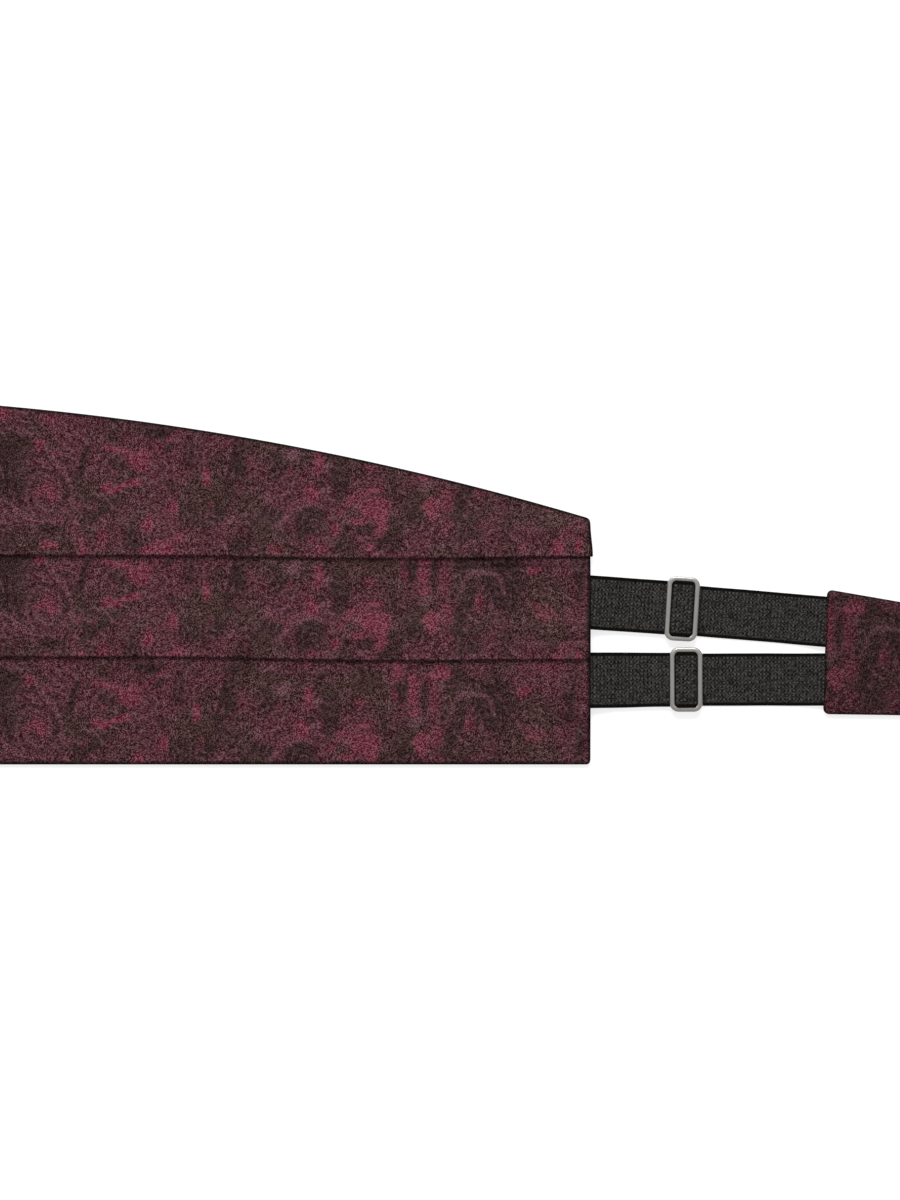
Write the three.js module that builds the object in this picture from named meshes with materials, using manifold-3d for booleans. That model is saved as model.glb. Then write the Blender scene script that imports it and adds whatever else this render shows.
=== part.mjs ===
// A pleated cummerbund laid out flat: one folded jacquard panel, two elastic straps
// on each side with a slide adjuster, two tapered cloth tabs, and a hook and loop at
// the ends. Millimetres. +X runs along the length, +Y is the side of the curved edge,
// and +Z is up, off the surface that it lies on. The origin is the middle of the
// whole outline, on that surface. Heights called "from the edge" are measured along
// +Y from the panel's straight edge.

import * as THREE from "three";
import { mergeVertices } from "three/addons/utils/BufferGeometryUtils.js";
import Module from "manifold-3d";

const wasm = await Module();
wasm.setup();

// Cloth and clearances
const CLOTH = 1.0; // wall of the jacquard with its interlining
const SLIT = 0.3; // between layers of one folded cloth that lie on each other
const GAP = 0.3; // between neighbouring pieces
const HOLLOW = 0.4; // inside the flat panel, between its back and its front

// Panel
const PANEL_LENGTH = 670;
const PANEL_HEIGHT = 141.4; // at the middle
const BOTTOM_PLEAT = 40.4; // height of each pleat's face at the panel's end
const MIDDLE_PLEAT = 39.0;
const TOP_PLEAT = 14.3;
const ARCH_FULLNESS = 2.1; // power of the curved edge, 2 is a parabola
const UNDERLAP = 9; // how far a pleat's cloth runs on under the next one
const FALL = 10; // length over which a pleat comes down off the layers under it
const PANEL_HEM = 3; // sewn-through end of the panel
const PANEL_EDGE_RADIUS = 1.2;

// Straps
const STRAP_WIDTH = 20;
const STRAP_THICKNESS = 1.0;
const STRETCH_NARROWING = 0.9; // how much narrower the single, tighter run is
const STRAP_RUN_ACROSS = 89.4; // between the panel's end and the tab's end, along X
const STRAP_IN_PANEL = 8; // length of the sewn-in fold
const STRAP_IN_TAB = 8;
const STRAP_DESCENT = 8.5; // length over which a strap comes down to the surface
const STRAP_LEVEL = 1.5; // stays level this far outside the cloth
const STRAP_BEND = 0.8; // centre-line radius of the sharp bends
const SOFT_BEND = 6;
const STRAP_ROOM = 1.5; // beside a strap, inside the cloth
const LIFT_ACROSS = 6; // length over which the cloth comes down beside a strap
const LIFT_ALONG = 14; // and beyond a strap's fold
const LOWER_STRAP_AT_PANEL = 32.3; // middle of the strap, from the edge
const LOWER_STRAP_RISE = 0.3; // how much farther from the edge it is at the tab
const STRAP_SPACE_AT_PANEL = 9.5; // clear space between the two straps
const STRAP_SPACE_AT_TAB = 2.1;
const LOWER_SLIDER_DISTANCE = 36.4; // from the panel's end to the slider's middle
const UPPER_SLIDER_DISTANCE = 35.0;

// Slider
const SLIDER_BAR = 1.95; // width of the outer frame's bars
const SLIDER_FRAME_THICKNESS = 1.6;
const MIDDLE_BAR_WIDTH = 1.8;
const MIDDLE_BAR_THICKNESS = 1.0;
const SLIDER_CORNER = 2.6;
const SLIDER_INNER_CORNER = 0.7;
const SLIDER_EASE = 0.35; // bevel on the frame's edges

// Tab
const TAB_LENGTH = 130;
const TAB_LOW_BORDER = 3.4; // width of cloth beside the lower strap, at the strap end
const TAB_HIGH_BORDER = 2.1; // and beside the upper strap
const TAB_FAR_BORDER = 2.85; // beside the loop, at the far end
const TAB_LOW_DROP = 2.0; // how much nearer the edge the low side is at the far end
const TAB_CORNER = 2.7;
const TAB_LEAN = 1.5; // how far the strap end leans out of square
const TAB_LEAN_LENGTH = 30;
const TAB_END_WALL = 1.5;
const TAB_EDGE_RADIUS = 1.4;

// Hook and loop
const CLASP_SHEET = 1.0; // thickness of the metal
const LOOP_BAR = 2.0;
const LOOP_WINDOW = 5.4; // clear of the tab, along X
const LOOP_WIDTH = 22; // along Y, outside
const LOOP_CORNER = 1.6;
const HOOK_WIDTH = 14;
const HOOK_GAP = 2.0; // inside the bend
const HOOK_LIP = 2.8; // flat length of the turned-back lip
const HOOK_IN_TAB = 8;

// Sizes that follow from those above
const HALF_PANEL = PANEL_LENGTH / 2;
const LOWER_FOLD = BOTTOM_PLEAT; // folded edge of the middle pleat, from the edge
const UPPER_FOLD = BOTTOM_PLEAT + MIDDLE_PLEAT; // folded edge of the top pleat
const PANEL_END_HEIGHT = UPPER_FOLD + TOP_PLEAT;
const FOLD_RADIUS = CLOTH + SLIT / 2; // outer radius where cloth folds over a slit
const LAYER = CLOTH + SLIT;
const DOUBLE_STRAP = 2 * STRAP_THICKNESS + GAP;
const PANEL_POCKET = DOUBLE_STRAP + 2 * GAP; // hollow that holds a doubled strap
const TAB_POCKET = Math.max(STRAP_THICKNESS, CLASP_SHEET) + 2 * GAP;
const TAB_THICKNESS = 2 * CLOTH + TAB_POCKET;
const TAB_X = HALF_PANEL + STRAP_RUN_ACROSS;
const STRAP_STEP = STRAP_THICKNESS + GAP; // from one strap layer to the next
const STRAP_POCKET_DEPTH = STRAP_IN_PANEL + DOUBLE_STRAP; // past the sewn-in fold
const LOWER_STRAP_AT_TAB = LOWER_STRAP_AT_PANEL + LOWER_STRAP_RISE;
const UPPER_STRAP_AT_PANEL = LOWER_STRAP_AT_PANEL + STRAP_WIDTH + STRAP_SPACE_AT_PANEL;
const UPPER_STRAP_AT_TAB = LOWER_STRAP_AT_TAB + STRAP_WIDTH + STRAP_SPACE_AT_TAB;
const TAB_LOW_EDGE = LOWER_STRAP_AT_TAB - STRAP_WIDTH / 2 - TAB_LOW_BORDER; // from the edge
const TAB_HIGH_EDGE = UPPER_STRAP_AT_TAB + STRAP_WIDTH / 2 + TAB_HIGH_BORDER;
const TAB_FAR_HEIGHT = LOOP_WIDTH + 2 * TAB_FAR_BORDER;
const TAB_HIGH_DROP = TAB_HIGH_EDGE - (TAB_LOW_EDGE - TAB_LOW_DROP + TAB_FAR_HEIGHT);
const WRAP_BEND = (MIDDLE_BAR_THICKNESS + 2 * GAP + STRAP_THICKNESS) / 2; // round the middle bar
const SLOT = WRAP_BEND + 1.5 * STRAP_THICKNESS + 2 * GAP; // beside the middle bar
const HALF_WINDOW = MIDDLE_BAR_WIDTH / 2 + SLOT;
const SLIDER_LENGTH = 2 * (HALF_WINDOW + SLIDER_BAR);
const SLIDER_WIDTH = STRAP_WIDTH + 2 * GAP + 2 * SLIDER_BAR;
const FRAME_LOW = 2 * STRAP_STEP; // the frame lies on both layers of the strap

const jacquard = new THREE.MeshStandardMaterial({ color: 0x4a2c33, roughness: 0.75, metalness: 0 });
const elastic = new THREE.MeshStandardMaterial({ color: 0x242223, roughness: 0.85, metalness: 0 });
const satin_metal = new THREE.MeshStandardMaterial({ color: 0x9a9897, roughness: 0.4, metalness: 0.9 });

// The straps on the right-hand side; the left-hand side mirrors them.
const strap_table = [
  {
    name: "lower",
    at_panel: LOWER_STRAP_AT_PANEL,
    at_tab: LOWER_STRAP_AT_TAB,
    slider_distance: LOWER_SLIDER_DISTANCE,
  },
  {
    name: "upper",
    at_panel: UPPER_STRAP_AT_PANEL,
    at_tab: UPPER_STRAP_AT_TAB,
    slider_distance: UPPER_SLIDER_DISTANCE,
  },
];
for (const row of strap_table) {
  row.rise = row.at_tab - row.at_panel;
  row.angle = Math.atan2(row.rise, STRAP_RUN_ACROSS);
  row.run = Math.hypot(row.rise, STRAP_RUN_ACROSS);
}

// Small wander of the two folded edges: share of the half length from the middle,
// and shares of a pleat's face by which each fold lies above or below its place.
const fold_wander = [
  { along: -1.0, lower: 0.0, upper: 0.0 },
  { along: -0.45, lower: 0.012, upper: -0.008 },
  { along: 0.3, lower: 0.014, upper: 0.01 },
  { along: 0.5, lower: 0.017, upper: 0.005 },
  { along: 0.77, lower: -0.018, upper: -0.022 },
  { along: 1.0, lower: -0.008, upper: -0.006 },
];

function smooth(share) {
  const t = Math.min(1, Math.max(0, share));
  return t * t * (3 - 2 * t);
}

function wander(x, column) {
  const along = x / HALF_PANEL;
  for (let i = 1; i < fold_wander.length; i++) {
    const before = fold_wander[i - 1];
    const after = fold_wander[i];
    if (along <= after.along) {
      const t = smooth((along - before.along) / (after.along - before.along));
      return LOWER_FOLD * (before[column] + (after[column] - before[column]) * t);
    }
  }
  return LOWER_FOLD * fold_wander[fold_wander.length - 1][column];
}

function archHeight(x) {
  const share = Math.abs(x) / HALF_PANEL;
  return PANEL_HEIGHT - (PANEL_HEIGHT - PANEL_END_HEIGHT) * share ** ARCH_FULLNESS;
}

// How much the front is lifted off the back at a place, to let the sewn-in straps in.
function strapLift(x, y) {
  const from_end = HALF_PANEL - Math.abs(x);
  const along = 1 - smooth((from_end - STRAP_POCKET_DEPTH) / LIFT_ALONG);
  let across = 0;
  for (const row of strap_table) {
    const middle = row.at_panel - Math.tan(row.angle) * Math.min(from_end, STRAP_POCKET_DEPTH);
    const beyond = Math.abs(y - middle) - STRAP_WIDTH / 2 - STRAP_ROOM;
    across = Math.max(across, 1 - smooth(beyond / LIFT_ACROSS));
  }
  return (PANEL_POCKET - HOLLOW) * along * across;
}

function arcPoints(cy, cz, radius, from, to, pieces) {
  const points = [];
  for (let i = 0; i <= pieces; i++) {
    const a = from + ((to - from) * i) / pieces;
    points.push(new THREE.Vector2(cy + radius * Math.cos(a), cz + radius * Math.sin(a)));
  }
  return points;
}

// Both outlines of the panel's cloth in the YZ plane at a place along X: the outside,
// with the open pockets under the two folded edges, and the hollow inside. Layers
// that lie on each other share their places along Y, so that they rise together.
function panelSection(x) {
  const height = archHeight(x);
  const under = CLOTH + HOLLOW;
  const r = Math.min(PANEL_EDGE_RADIUS, 0.45 * (2 * CLOTH + HOLLOW));
  const edge_wall = CLOTH * 1.2;
  const face_pieces = 5;
  const turn_pieces = 5;
  const underside = (fold) => (y) => {
    const beyond = y - (fold + UNDERLAP + FOLD_RADIUS);
    return under + 2 * LAYER * (1 - smooth(beyond / FALL));
  };
  const folding = (fold) => {
    const turn = fold + FOLD_RADIUS;
    const end = fold + UNDERLAP;
    return { turn, middle: (turn + end) / 2, end, passes: [end, (turn + end) / 2, turn], above: underside(fold) };
  };
  const lower = folding(LOWER_FOLD + wander(x, "lower"));
  const upper = folding(UPPER_FOLD + wander(x, "upper"));
  const spread = (from, to) => {
    const step = (to - from) / face_pieces;
    return Array.from({ length: face_pieces }, (_, i) => from + step * (i + 1));
  };
  const between = [
    ...upper.passes,
    ...spread(upper.turn, lower.end + FOLD_RADIUS),
    ...lower.passes,
  ];
  const trace = (places, z) => places.map((y) => new THREE.Vector2(y, z(y)));
  const covered = (z) => (y) => z(y) + CLOTH;
  const flat = () => under;

  // Round a folded edge on the outside, and back to the bottom of its pocket.
  const outsideFold = (p) => [
    ...arcPoints(p.turn, p.above(p.turn) - SLIT / 2, FOLD_RADIUS, Math.PI / 2, (3 * Math.PI) / 2, turn_pieces).slice(1),
    ...trace([p.middle, p.end], () => under + LAYER),
  ];
  // Between the two layers of a pleat, and round where its cloth turns forward again.
  const insideFold = (p) => [
    ...trace([p.turn, p.middle], () => p.above(p.turn) - SLIT),
    ...arcPoints(p.end, under + CLOTH + SLIT / 2, FOLD_RADIUS, Math.PI / 2, -Math.PI / 2, 4).slice(0, -1),
  ];
  const top = (edge) => [edge, ...spread(edge, upper.end + FOLD_RADIUS), ...upper.passes];
  const bottom = (edge) => [...lower.passes, ...spread(lower.turn, edge)];
  const edge_top = covered(upper.above)(height - r);
  const outside = [
    ...arcPoints(height - r, r, r, -Math.PI / 2, 0, 3),
    ...arcPoints(height - r, edge_top - r, r, 0, Math.PI / 2, 3),
    ...trace(top(height - r).slice(1), covered(upper.above)),
    ...outsideFold(upper),
    ...trace(between, covered(lower.above)),
    ...outsideFold(lower),
    ...trace(bottom(r), covered(flat)),
    ...arcPoints(r, under + CLOTH - r, r, Math.PI / 2, Math.PI, 3).slice(1),
    ...arcPoints(r, r, r, Math.PI, (3 * Math.PI) / 2, 3),
  ];
  const inside = [
    ...trace([edge_wall, height - edge_wall], () => CLOTH),
    ...trace(top(height - edge_wall), upper.above),
    ...insideFold(upper),
    ...trace(between, lower.above),
    ...insideFold(lower),
    ...trace(bottom(edge_wall), flat),
  ];
  const lifted = (points) => points.map((p) => {
    const lift = p.y > CLOTH + HOLLOW / 2 ? strapLift(x, p.x) : 0;
    return new THREE.Vector2(p.x, p.y + lift);
  });
  return { outside: lifted(outside), inside: lifted(inside) };
}

function turnOf(a, b, c) {
  return (b.x - a.x) * (c.y - a.y) - (b.y - a.y) * (c.x - a.x);
}

// Cuts a counter-clockwise outline into triangles, roundest first, and keeps every
// point, also those in the middle of a straight edge.
function capTriangles(points) {
  const tiny = 1e-7;
  const rest = points.map((_, i) => i);
  const found = [];
  while (rest.length > 2) {
    let best = null;
    for (let i = 0; i < rest.length; i++) {
      const [a, b, c] = [rest.length - 1, 0, 1].map((step) => rest[(i + step) % rest.length]);
      const [p, q, r] = [points[a], points[b], points[c]];
      const area = turnOf(p, q, r);
      const roundness = area / (p.distanceToSquared(q) + q.distanceToSquared(r) + r.distanceToSquared(p));
      if (area <= tiny || (best && roundness <= best.roundness)) continue;
      const holds = (k) => (
        turnOf(p, q, points[k]) >= -tiny && turnOf(q, r, points[k]) >= -tiny && turnOf(r, p, points[k]) >= -tiny
      );
      if (rest.some((k) => k !== a && k !== b && k !== c && holds(k))) continue;
      best = { roundness, corner: i, triangle: [a, b, c] };
    }
    if (!best) throw new Error("an outline crosses itself");
    found.push(best.triangle);
    rest.splice(best.corner, 1);
  }
  return found;
}

// A closed body through outlines in the YZ plane, each { x, points } with the same
// number of points in the same order, counter-clockwise as seen from +X.
function loft(sections) {
  const count = sections[0].points.length;
  const positions = [];
  const triangles = [];
  for (const section of sections) {
    for (const p of section.points) positions.push(section.x, p.x, p.y);
  }
  for (let i = 0; i + 1 < sections.length; i++) {
    for (let j = 0; j < count; j++) {
      const a = i * count + j;
      const b = i * count + ((j + 1) % count);
      triangles.push(a, b, b + count, a, b + count, a + count);
    }
  }
  const last = (sections.length - 1) * count;
  for (const [a, b, c] of capTriangles(sections[0].points)) triangles.push(a, c, b);
  for (const [a, b, c] of capTriangles(sections[sections.length - 1].points)) {
    triangles.push(last + a, last + b, last + c);
  }
  const geometry = new THREE.BufferGeometry();
  geometry.setAttribute("position", new THREE.Float32BufferAttribute(positions, 3));
  geometry.setIndex(triangles);
  return geometry;
}

function toSolid(geometry) {
  const bare = geometry.clone();
  bare.deleteAttribute("normal");
  bare.deleteAttribute("uv");
  const merged = mergeVertices(bare, 1e-4);
  const vertProperties = new Float32Array(merged.attributes.position.array);
  const triVerts = new Uint32Array(merged.index.array);
  return new wasm.Manifold(new wasm.Mesh({ numProp: 3, vertProperties, triVerts }));
}

function toGeometry(solid) {
  const mesh = solid.getMesh();
  const geometry = new THREE.BufferGeometry();
  geometry.setAttribute("position", new THREE.Float32BufferAttribute(mesh.vertProperties, 3));
  geometry.setIndex(Array.from(mesh.triVerts));
  geometry.computeVertexNormals();
  return geometry;
}

function mirroredInX(geometry) {
  const flipped = geometry.clone();
  flipped.scale(-1, 1, 1);
  const index = flipped.index;
  for (let i = 0; i < index.count; i += 3) {
    const b = index.getX(i + 1);
    index.setX(i + 1, index.getX(i + 2));
    index.setX(i + 2, b);
  }
  return flipped;
}

function boxBetween(low, high) {
  const size = high.map((value, i) => value - low[i]);
  const middle = high.map((value, i) => (value + low[i]) / 2);
  return new THREE.BoxGeometry(...size).translate(...middle);
}

// A ribbon bent along a route in the XZ plane: its closed outline, from a centre line
// whose corners are rounded, drawn out along Y. Each corner is { x, z, bend }.
function ribbon(corners, thickness, width) {
  const line = [];
  const at = (c) => new THREE.Vector2(c.x, c.z);
  line.push({ point: at(corners[0]), normal: null });
  for (let i = 1; i + 1 < corners.length; i++) {
    const here = at(corners[i]);
    const back = at(corners[i - 1]).sub(here).normalize();
    const ahead = at(corners[i + 1]).sub(here).normalize();
    const half = Math.acos(THREE.MathUtils.clamp(back.dot(ahead), -1, 1)) / 2;
    const bend = corners[i].bend;
    const centre = here.clone().add(
      back.clone().add(ahead).normalize().multiplyScalar(bend / Math.sin(half)),
    );
    const start = here.clone().add(back.clone().multiplyScalar(bend / Math.tan(half)));
    const sweep = Math.PI - 2 * half;
    const turn = Math.sign(-back.x * ahead.y + back.y * ahead.x);
    const pieces = Math.max(2, Math.ceil(sweep / 0.4));
    for (let k = 0; k <= pieces; k++) {
      const spoke = start.clone().sub(centre).rotateAround(new THREE.Vector2(), (turn * sweep * k) / pieces);
      line.push({ point: centre.clone().add(spoke), normal: spoke.clone().normalize().multiplyScalar(turn) });
    }
  }
  line.push({ point: at(corners[corners.length - 1]), normal: null });
  const endNormal = (from, to) => {
    const d = to.clone().sub(from).normalize();
    return new THREE.Vector2(d.y, -d.x);
  };
  line[0].normal = endNormal(line[0].point, line[1].point);
  const last = line.length - 1;
  line[last].normal = endNormal(line[last - 1].point, line[last].point);
  const side = (sign) => line.map(({ point, normal }) => (
    point.clone().add(normal.clone().multiplyScalar((sign * thickness) / 2))
  ));
  const shape = new THREE.Shape([...side(1), ...side(-1).reverse()]);
  const drawn = new THREE.ExtrudeGeometry(shape, { depth: width, bevelEnabled: false });
  drawn.rotateX(Math.PI / 2);
  drawn.translate(0, width / 2, 0);
  return mergeVertices(withoutExtras(drawn), 1e-4);
}

function withoutExtras(geometry) {
  const bare = geometry.clone();
  bare.deleteAttribute("normal");
  bare.deleteAttribute("uv");
  return bare;
}

// A strap in its own frame: X from the panel's end towards the tab, Y across. It is
// sewn into the tab, runs under the slider's outer bars and over its middle bar,
// folds back inside the panel's end, and returns underneath to end round that bar.
function strapGeometry(row) {
  const mid = STRAP_THICKNESS / 2;
  const in_cloth = CLOTH + GAP + mid;
  const s = row.slider_distance;
  const slot_x = HALF_WINDOW - GAP - mid;
  const over_bar = STRAP_STEP + MIDDLE_BAR_THICKNESS + 2 * GAP + STRAP_THICKNESS + mid;
  const wrap_x = s + MIDDLE_BAR_WIDTH / 2 + WRAP_BEND;
  const fold = STRAP_STEP / 2;
  const corners = [
    { x: row.run + STRAP_IN_TAB, z: in_cloth },
    { x: row.run - STRAP_LEVEL, z: in_cloth, bend: SOFT_BEND },
    { x: row.run - STRAP_LEVEL - STRAP_DESCENT, z: mid, bend: SOFT_BEND },
    { x: s + slot_x, z: mid, bend: STRAP_BEND },
    { x: s + slot_x, z: over_bar, bend: STRAP_BEND },
    { x: s - slot_x, z: over_bar, bend: STRAP_BEND },
    { x: s - slot_x, z: mid + STRAP_STEP, bend: STRAP_BEND },
    { x: STRAP_LEVEL + STRAP_DESCENT, z: mid + STRAP_STEP, bend: SOFT_BEND },
    { x: STRAP_LEVEL, z: in_cloth + STRAP_STEP, bend: SOFT_BEND },
    { x: -STRAP_IN_PANEL - fold, z: in_cloth + STRAP_STEP, bend: fold },
    { x: -STRAP_IN_PANEL - fold, z: in_cloth, bend: fold },
    { x: STRAP_LEVEL, z: in_cloth, bend: SOFT_BEND },
    { x: STRAP_LEVEL + STRAP_DESCENT, z: mid, bend: SOFT_BEND },
    { x: wrap_x, z: mid, bend: WRAP_BEND },
    { x: wrap_x, z: mid + 2 * WRAP_BEND, bend: WRAP_BEND },
    { x: s - MIDDLE_BAR_WIDTH / 2 - GAP, z: mid + 2 * WRAP_BEND },
  ];
  const geometry = ribbon(corners, STRAP_THICKNESS, STRAP_WIDTH);
  const position = geometry.attributes.position;
  for (let i = 0; i < position.count; i++) {
    const beyond = position.getX(i) - (s + SLIDER_LENGTH / 2);
    const narrower = (STRETCH_NARROWING / STRAP_WIDTH) * smooth(beyond / STRAP_DESCENT);
    position.setY(i, position.getY(i) * (1 - narrower));
  }
  return geometry;
}

function roundedRectangle(Kind, length, width, corner) {
  const [x, y] = [length / 2, width / 2];
  const outline = new Kind();
  outline.moveTo(-x + corner, -y);
  outline.lineTo(x - corner, -y);
  outline.absarc(x - corner, -y + corner, corner, -Math.PI / 2, 0, false);
  outline.lineTo(x, y - corner);
  outline.absarc(x - corner, y - corner, corner, 0, Math.PI / 2, false);
  outline.lineTo(-x + corner, y);
  outline.absarc(-x + corner, y - corner, corner, Math.PI / 2, Math.PI, false);
  outline.lineTo(-x, -y + corner);
  outline.absarc(-x + corner, -y + corner, corner, Math.PI, (3 * Math.PI) / 2, false);
  return outline;
}

// A slide adjuster: a flat rounded frame over the strap, with a lower middle bar that
// the strap's end is sewn round.
function sliderGeometry() {
  const frame = roundedRectangle(THREE.Shape, SLIDER_LENGTH - 2 * SLIDER_EASE,
    SLIDER_WIDTH - 2 * SLIDER_EASE, SLIDER_CORNER - SLIDER_EASE);
  frame.holes.push(roundedRectangle(THREE.Path, 2 * (HALF_WINDOW + SLIDER_EASE),
    SLIDER_WIDTH - 2 * SLIDER_BAR + 2 * SLIDER_EASE, SLIDER_INNER_CORNER + SLIDER_EASE));
  const ring = new THREE.ExtrudeGeometry(frame, {
    depth: SLIDER_FRAME_THICKNESS - 2 * SLIDER_EASE,
    bevelThickness: SLIDER_EASE,
    bevelSize: SLIDER_EASE,
    bevelSegments: 1,
    curveSegments: 4,
  }).translate(0, 0, FRAME_LOW + SLIDER_EASE);
  const half_bar = MIDDLE_BAR_WIDTH / 2;
  const half_width = SLIDER_WIDTH / 2 - SLIDER_EASE;
  const inner = half_width + SLIDER_EASE - SLIDER_BAR;
  const bar = boxBetween(
    [-half_bar, -half_width, STRAP_STEP],
    [half_bar, half_width, STRAP_STEP + MIDDLE_BAR_THICKNESS],
  );
  const posts = [[-half_width, -inner], [inner, half_width]].map(([low, high]) => boxBetween(
    [-half_bar, low, STRAP_STEP + MIDDLE_BAR_THICKNESS / 2],
    [half_bar, high, FRAME_LOW + SLIDER_FRAME_THICKNESS / 2],
  ));
  let solid = toSolid(ring).add(toSolid(bar));
  for (const post of posts) solid = solid.add(toSolid(post));
  return toGeometry(solid);
}

// The box that a strap's hole takes in a cloth's end, in the strap's own frame.
function strapHole(row, from, to, low, high) {
  const half = STRAP_WIDTH / 2 + GAP;
  return boxBetween([from, -half, low], [to, half, high])
    .rotateZ(row.angle)
    .translate(HALF_PANEL, row.at_panel, 0);
}

function panelGeometry() {
  const stations = [0, 0.14, 0.28, 0.41, 0.54, 0.66, 0.78, 0.87].map((share) => share * HALF_PANEL);
  for (const share of [1, 0.5, 0]) stations.push(HALF_PANEL - STRAP_POCKET_DEPTH - share * LIFT_ALONG);
  stations.push(HALF_PANEL - PANEL_HEM - 1);
  const both = (last) => {
    const right = [...stations, last];
    return [...right.slice(1).map((x) => -x).reverse(), ...right];
  };
  const outer = loft(both(HALF_PANEL).map((x) => ({ x, points: panelSection(x).outside })));
  const hollow_end = HALF_PANEL - PANEL_HEM;
  const inner = loft(both(hollow_end).map((x) => ({ x, points: panelSection(x).inside })));
  let solid = toSolid(outer).subtract(toSolid(inner));
  for (const row of strap_table) {
    const hole = strapHole(row, -STRAP_POCKET_DEPTH, 2, CLOTH, CLOTH + PANEL_POCKET);
    solid = solid.subtract(toSolid(hole)).subtract(toSolid(mirroredInX(hole)));
  }
  return toGeometry(solid);
}

// Where the tab's two long edges lie at a distance from its strap end.
function tabEdges(u) {
  const share = u / TAB_LENGTH;
  return {
    low: TAB_LOW_EDGE - TAB_LOW_DROP * share,
    high: TAB_HIGH_EDGE - TAB_HIGH_DROP * share,
  };
}

function tabMiddle(u) {
  const { low, high } = tabEdges(u);
  return (low + high) / 2;
}

// The right-hand tab: two cloth walls closed all round, with holes for the straps at
// one end and for the clasp at the other. Its frame starts at the strap end.
function tabGeometry(clasp_holes) {
  const section = (u, inset, low_z, high_z, radius) => {
    const { low, high } = tabEdges(u);
    const to_end = Math.min(u, TAB_LENGTH - u);
    const into = Math.max(0, TAB_CORNER - to_end);
    const rounding = TAB_CORNER - Math.sqrt(TAB_CORNER ** 2 - into ** 2);
    const [y0, y1] = [low + rounding + inset, high - rounding - inset];
    const r = Math.min(radius, (high_z - low_z) / 2);
    return [
      ...arcPoints(y1 - r, low_z + r, r, -Math.PI / 2, 0, 3),
      ...arcPoints(y1 - r, high_z - r, r, 0, Math.PI / 2, 3),
      ...arcPoints(y0 + r, high_z - r, r, Math.PI / 2, Math.PI, 3),
      ...arcPoints(y0 + r, low_z + r, r, Math.PI, (3 * Math.PI) / 2, 3),
    ];
  };
  const near = [0, 0.12, 0.4, 1].map((share) => share * TAB_CORNER);
  const places = [...near, TAB_LENGTH / 2, ...near.map((u) => TAB_LENGTH - u).reverse()];
  const outer = loft(places.map((u) => ({
    x: u,
    points: section(u, 0, 0, TAB_THICKNESS, TAB_EDGE_RADIUS),
  })));
  const hollow = [TAB_END_WALL, TAB_CORNER + 1, TAB_LENGTH - TAB_CORNER - 1, TAB_LENGTH - TAB_END_WALL];
  const inner = loft(hollow.map((u) => ({
    x: u,
    points: section(u, CLOTH * 1.2, CLOTH, CLOTH + TAB_POCKET, GAP),
  })));
  const lean = (geometry) => {
    const position = geometry.attributes.position;
    for (let i = 0; i < position.count; i++) {
      const u = position.getX(i);
      const { low, high } = tabEdges(u);
      const across = (position.getY(i) - tabMiddle(u)) / (high - low);
      const fade = Math.max(0, 1 - u / TAB_LEAN_LENGTH);
      position.setX(i, u + TAB_LEAN * across * fade);
    }
    return geometry;
  };
  let solid = toSolid(lean(outer)).subtract(toSolid(lean(inner)));
  for (const row of strap_table) {
    const hole = strapHole(row, row.run - 3, row.run + TAB_END_WALL + 3, CLOTH, CLOTH + TAB_POCKET);
    solid = solid.subtract(toSolid(hole.translate(-TAB_X, 0, 0)));
  }
  for (const [low, high] of clasp_holes) {
    const hole = boxBetween(
      [TAB_LENGTH - TAB_END_WALL - 2, low - GAP, CLOTH],
      [TAB_LENGTH + 2, high + GAP, CLOTH + TAB_POCKET],
    );
    solid = solid.subtract(toSolid(hole));
  }
  return toGeometry(solid);
}

// A flat loop whose inner bar is caught inside the tab, in the right-hand tab's frame.
function loopGeometry() {
  const outer_x = TAB_LENGTH + LOOP_WINDOW + LOOP_BAR;
  const inner_x = TAB_LENGTH - TAB_END_WALL - GAP - LOOP_BAR - 1;
  const length = outer_x - inner_x;
  const frame = roundedRectangle(THREE.Shape, length, LOOP_WIDTH, LOOP_CORNER);
  frame.holes.push(roundedRectangle(THREE.Path, length - 2 * LOOP_BAR, LOOP_WIDTH - 2 * LOOP_BAR, 0.4));
  return toGeometry(toSolid(new THREE.ExtrudeGeometry(frame, {
    depth: CLASP_SHEET,
    bevelEnabled: false,
    curveSegments: 4,
  }).translate((outer_x + inner_x) / 2, tabMiddle(TAB_LENGTH), CLOTH + GAP)));
}

// A strip of sheet metal sewn into the tab and turned back on itself at its end.
function hookGeometry() {
  const bend = (HOOK_GAP + CLASP_SHEET) / 2;
  const reach = TAB_LENGTH + LOOP_WINDOW + LOOP_BAR - CLASP_SHEET / 2;
  const z = CLOTH + GAP + CLASP_SHEET / 2;
  const corners = [
    { x: TAB_LENGTH - HOOK_IN_TAB, z },
    { x: reach, z, bend },
    { x: reach, z: z + 2 * bend, bend },
    { x: reach - bend - HOOK_LIP, z: z + 2 * bend },
  ];
  return toGeometry(toSolid(ribbon(corners, CLASP_SHEET, HOOK_WIDTH).translate(0, tabMiddle(TAB_LENGTH), 0)));
}

function piece(name, geometry, material) {
  const mesh = new THREE.Mesh(geometry, material);
  mesh.name = name;
  return mesh;
}

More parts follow.
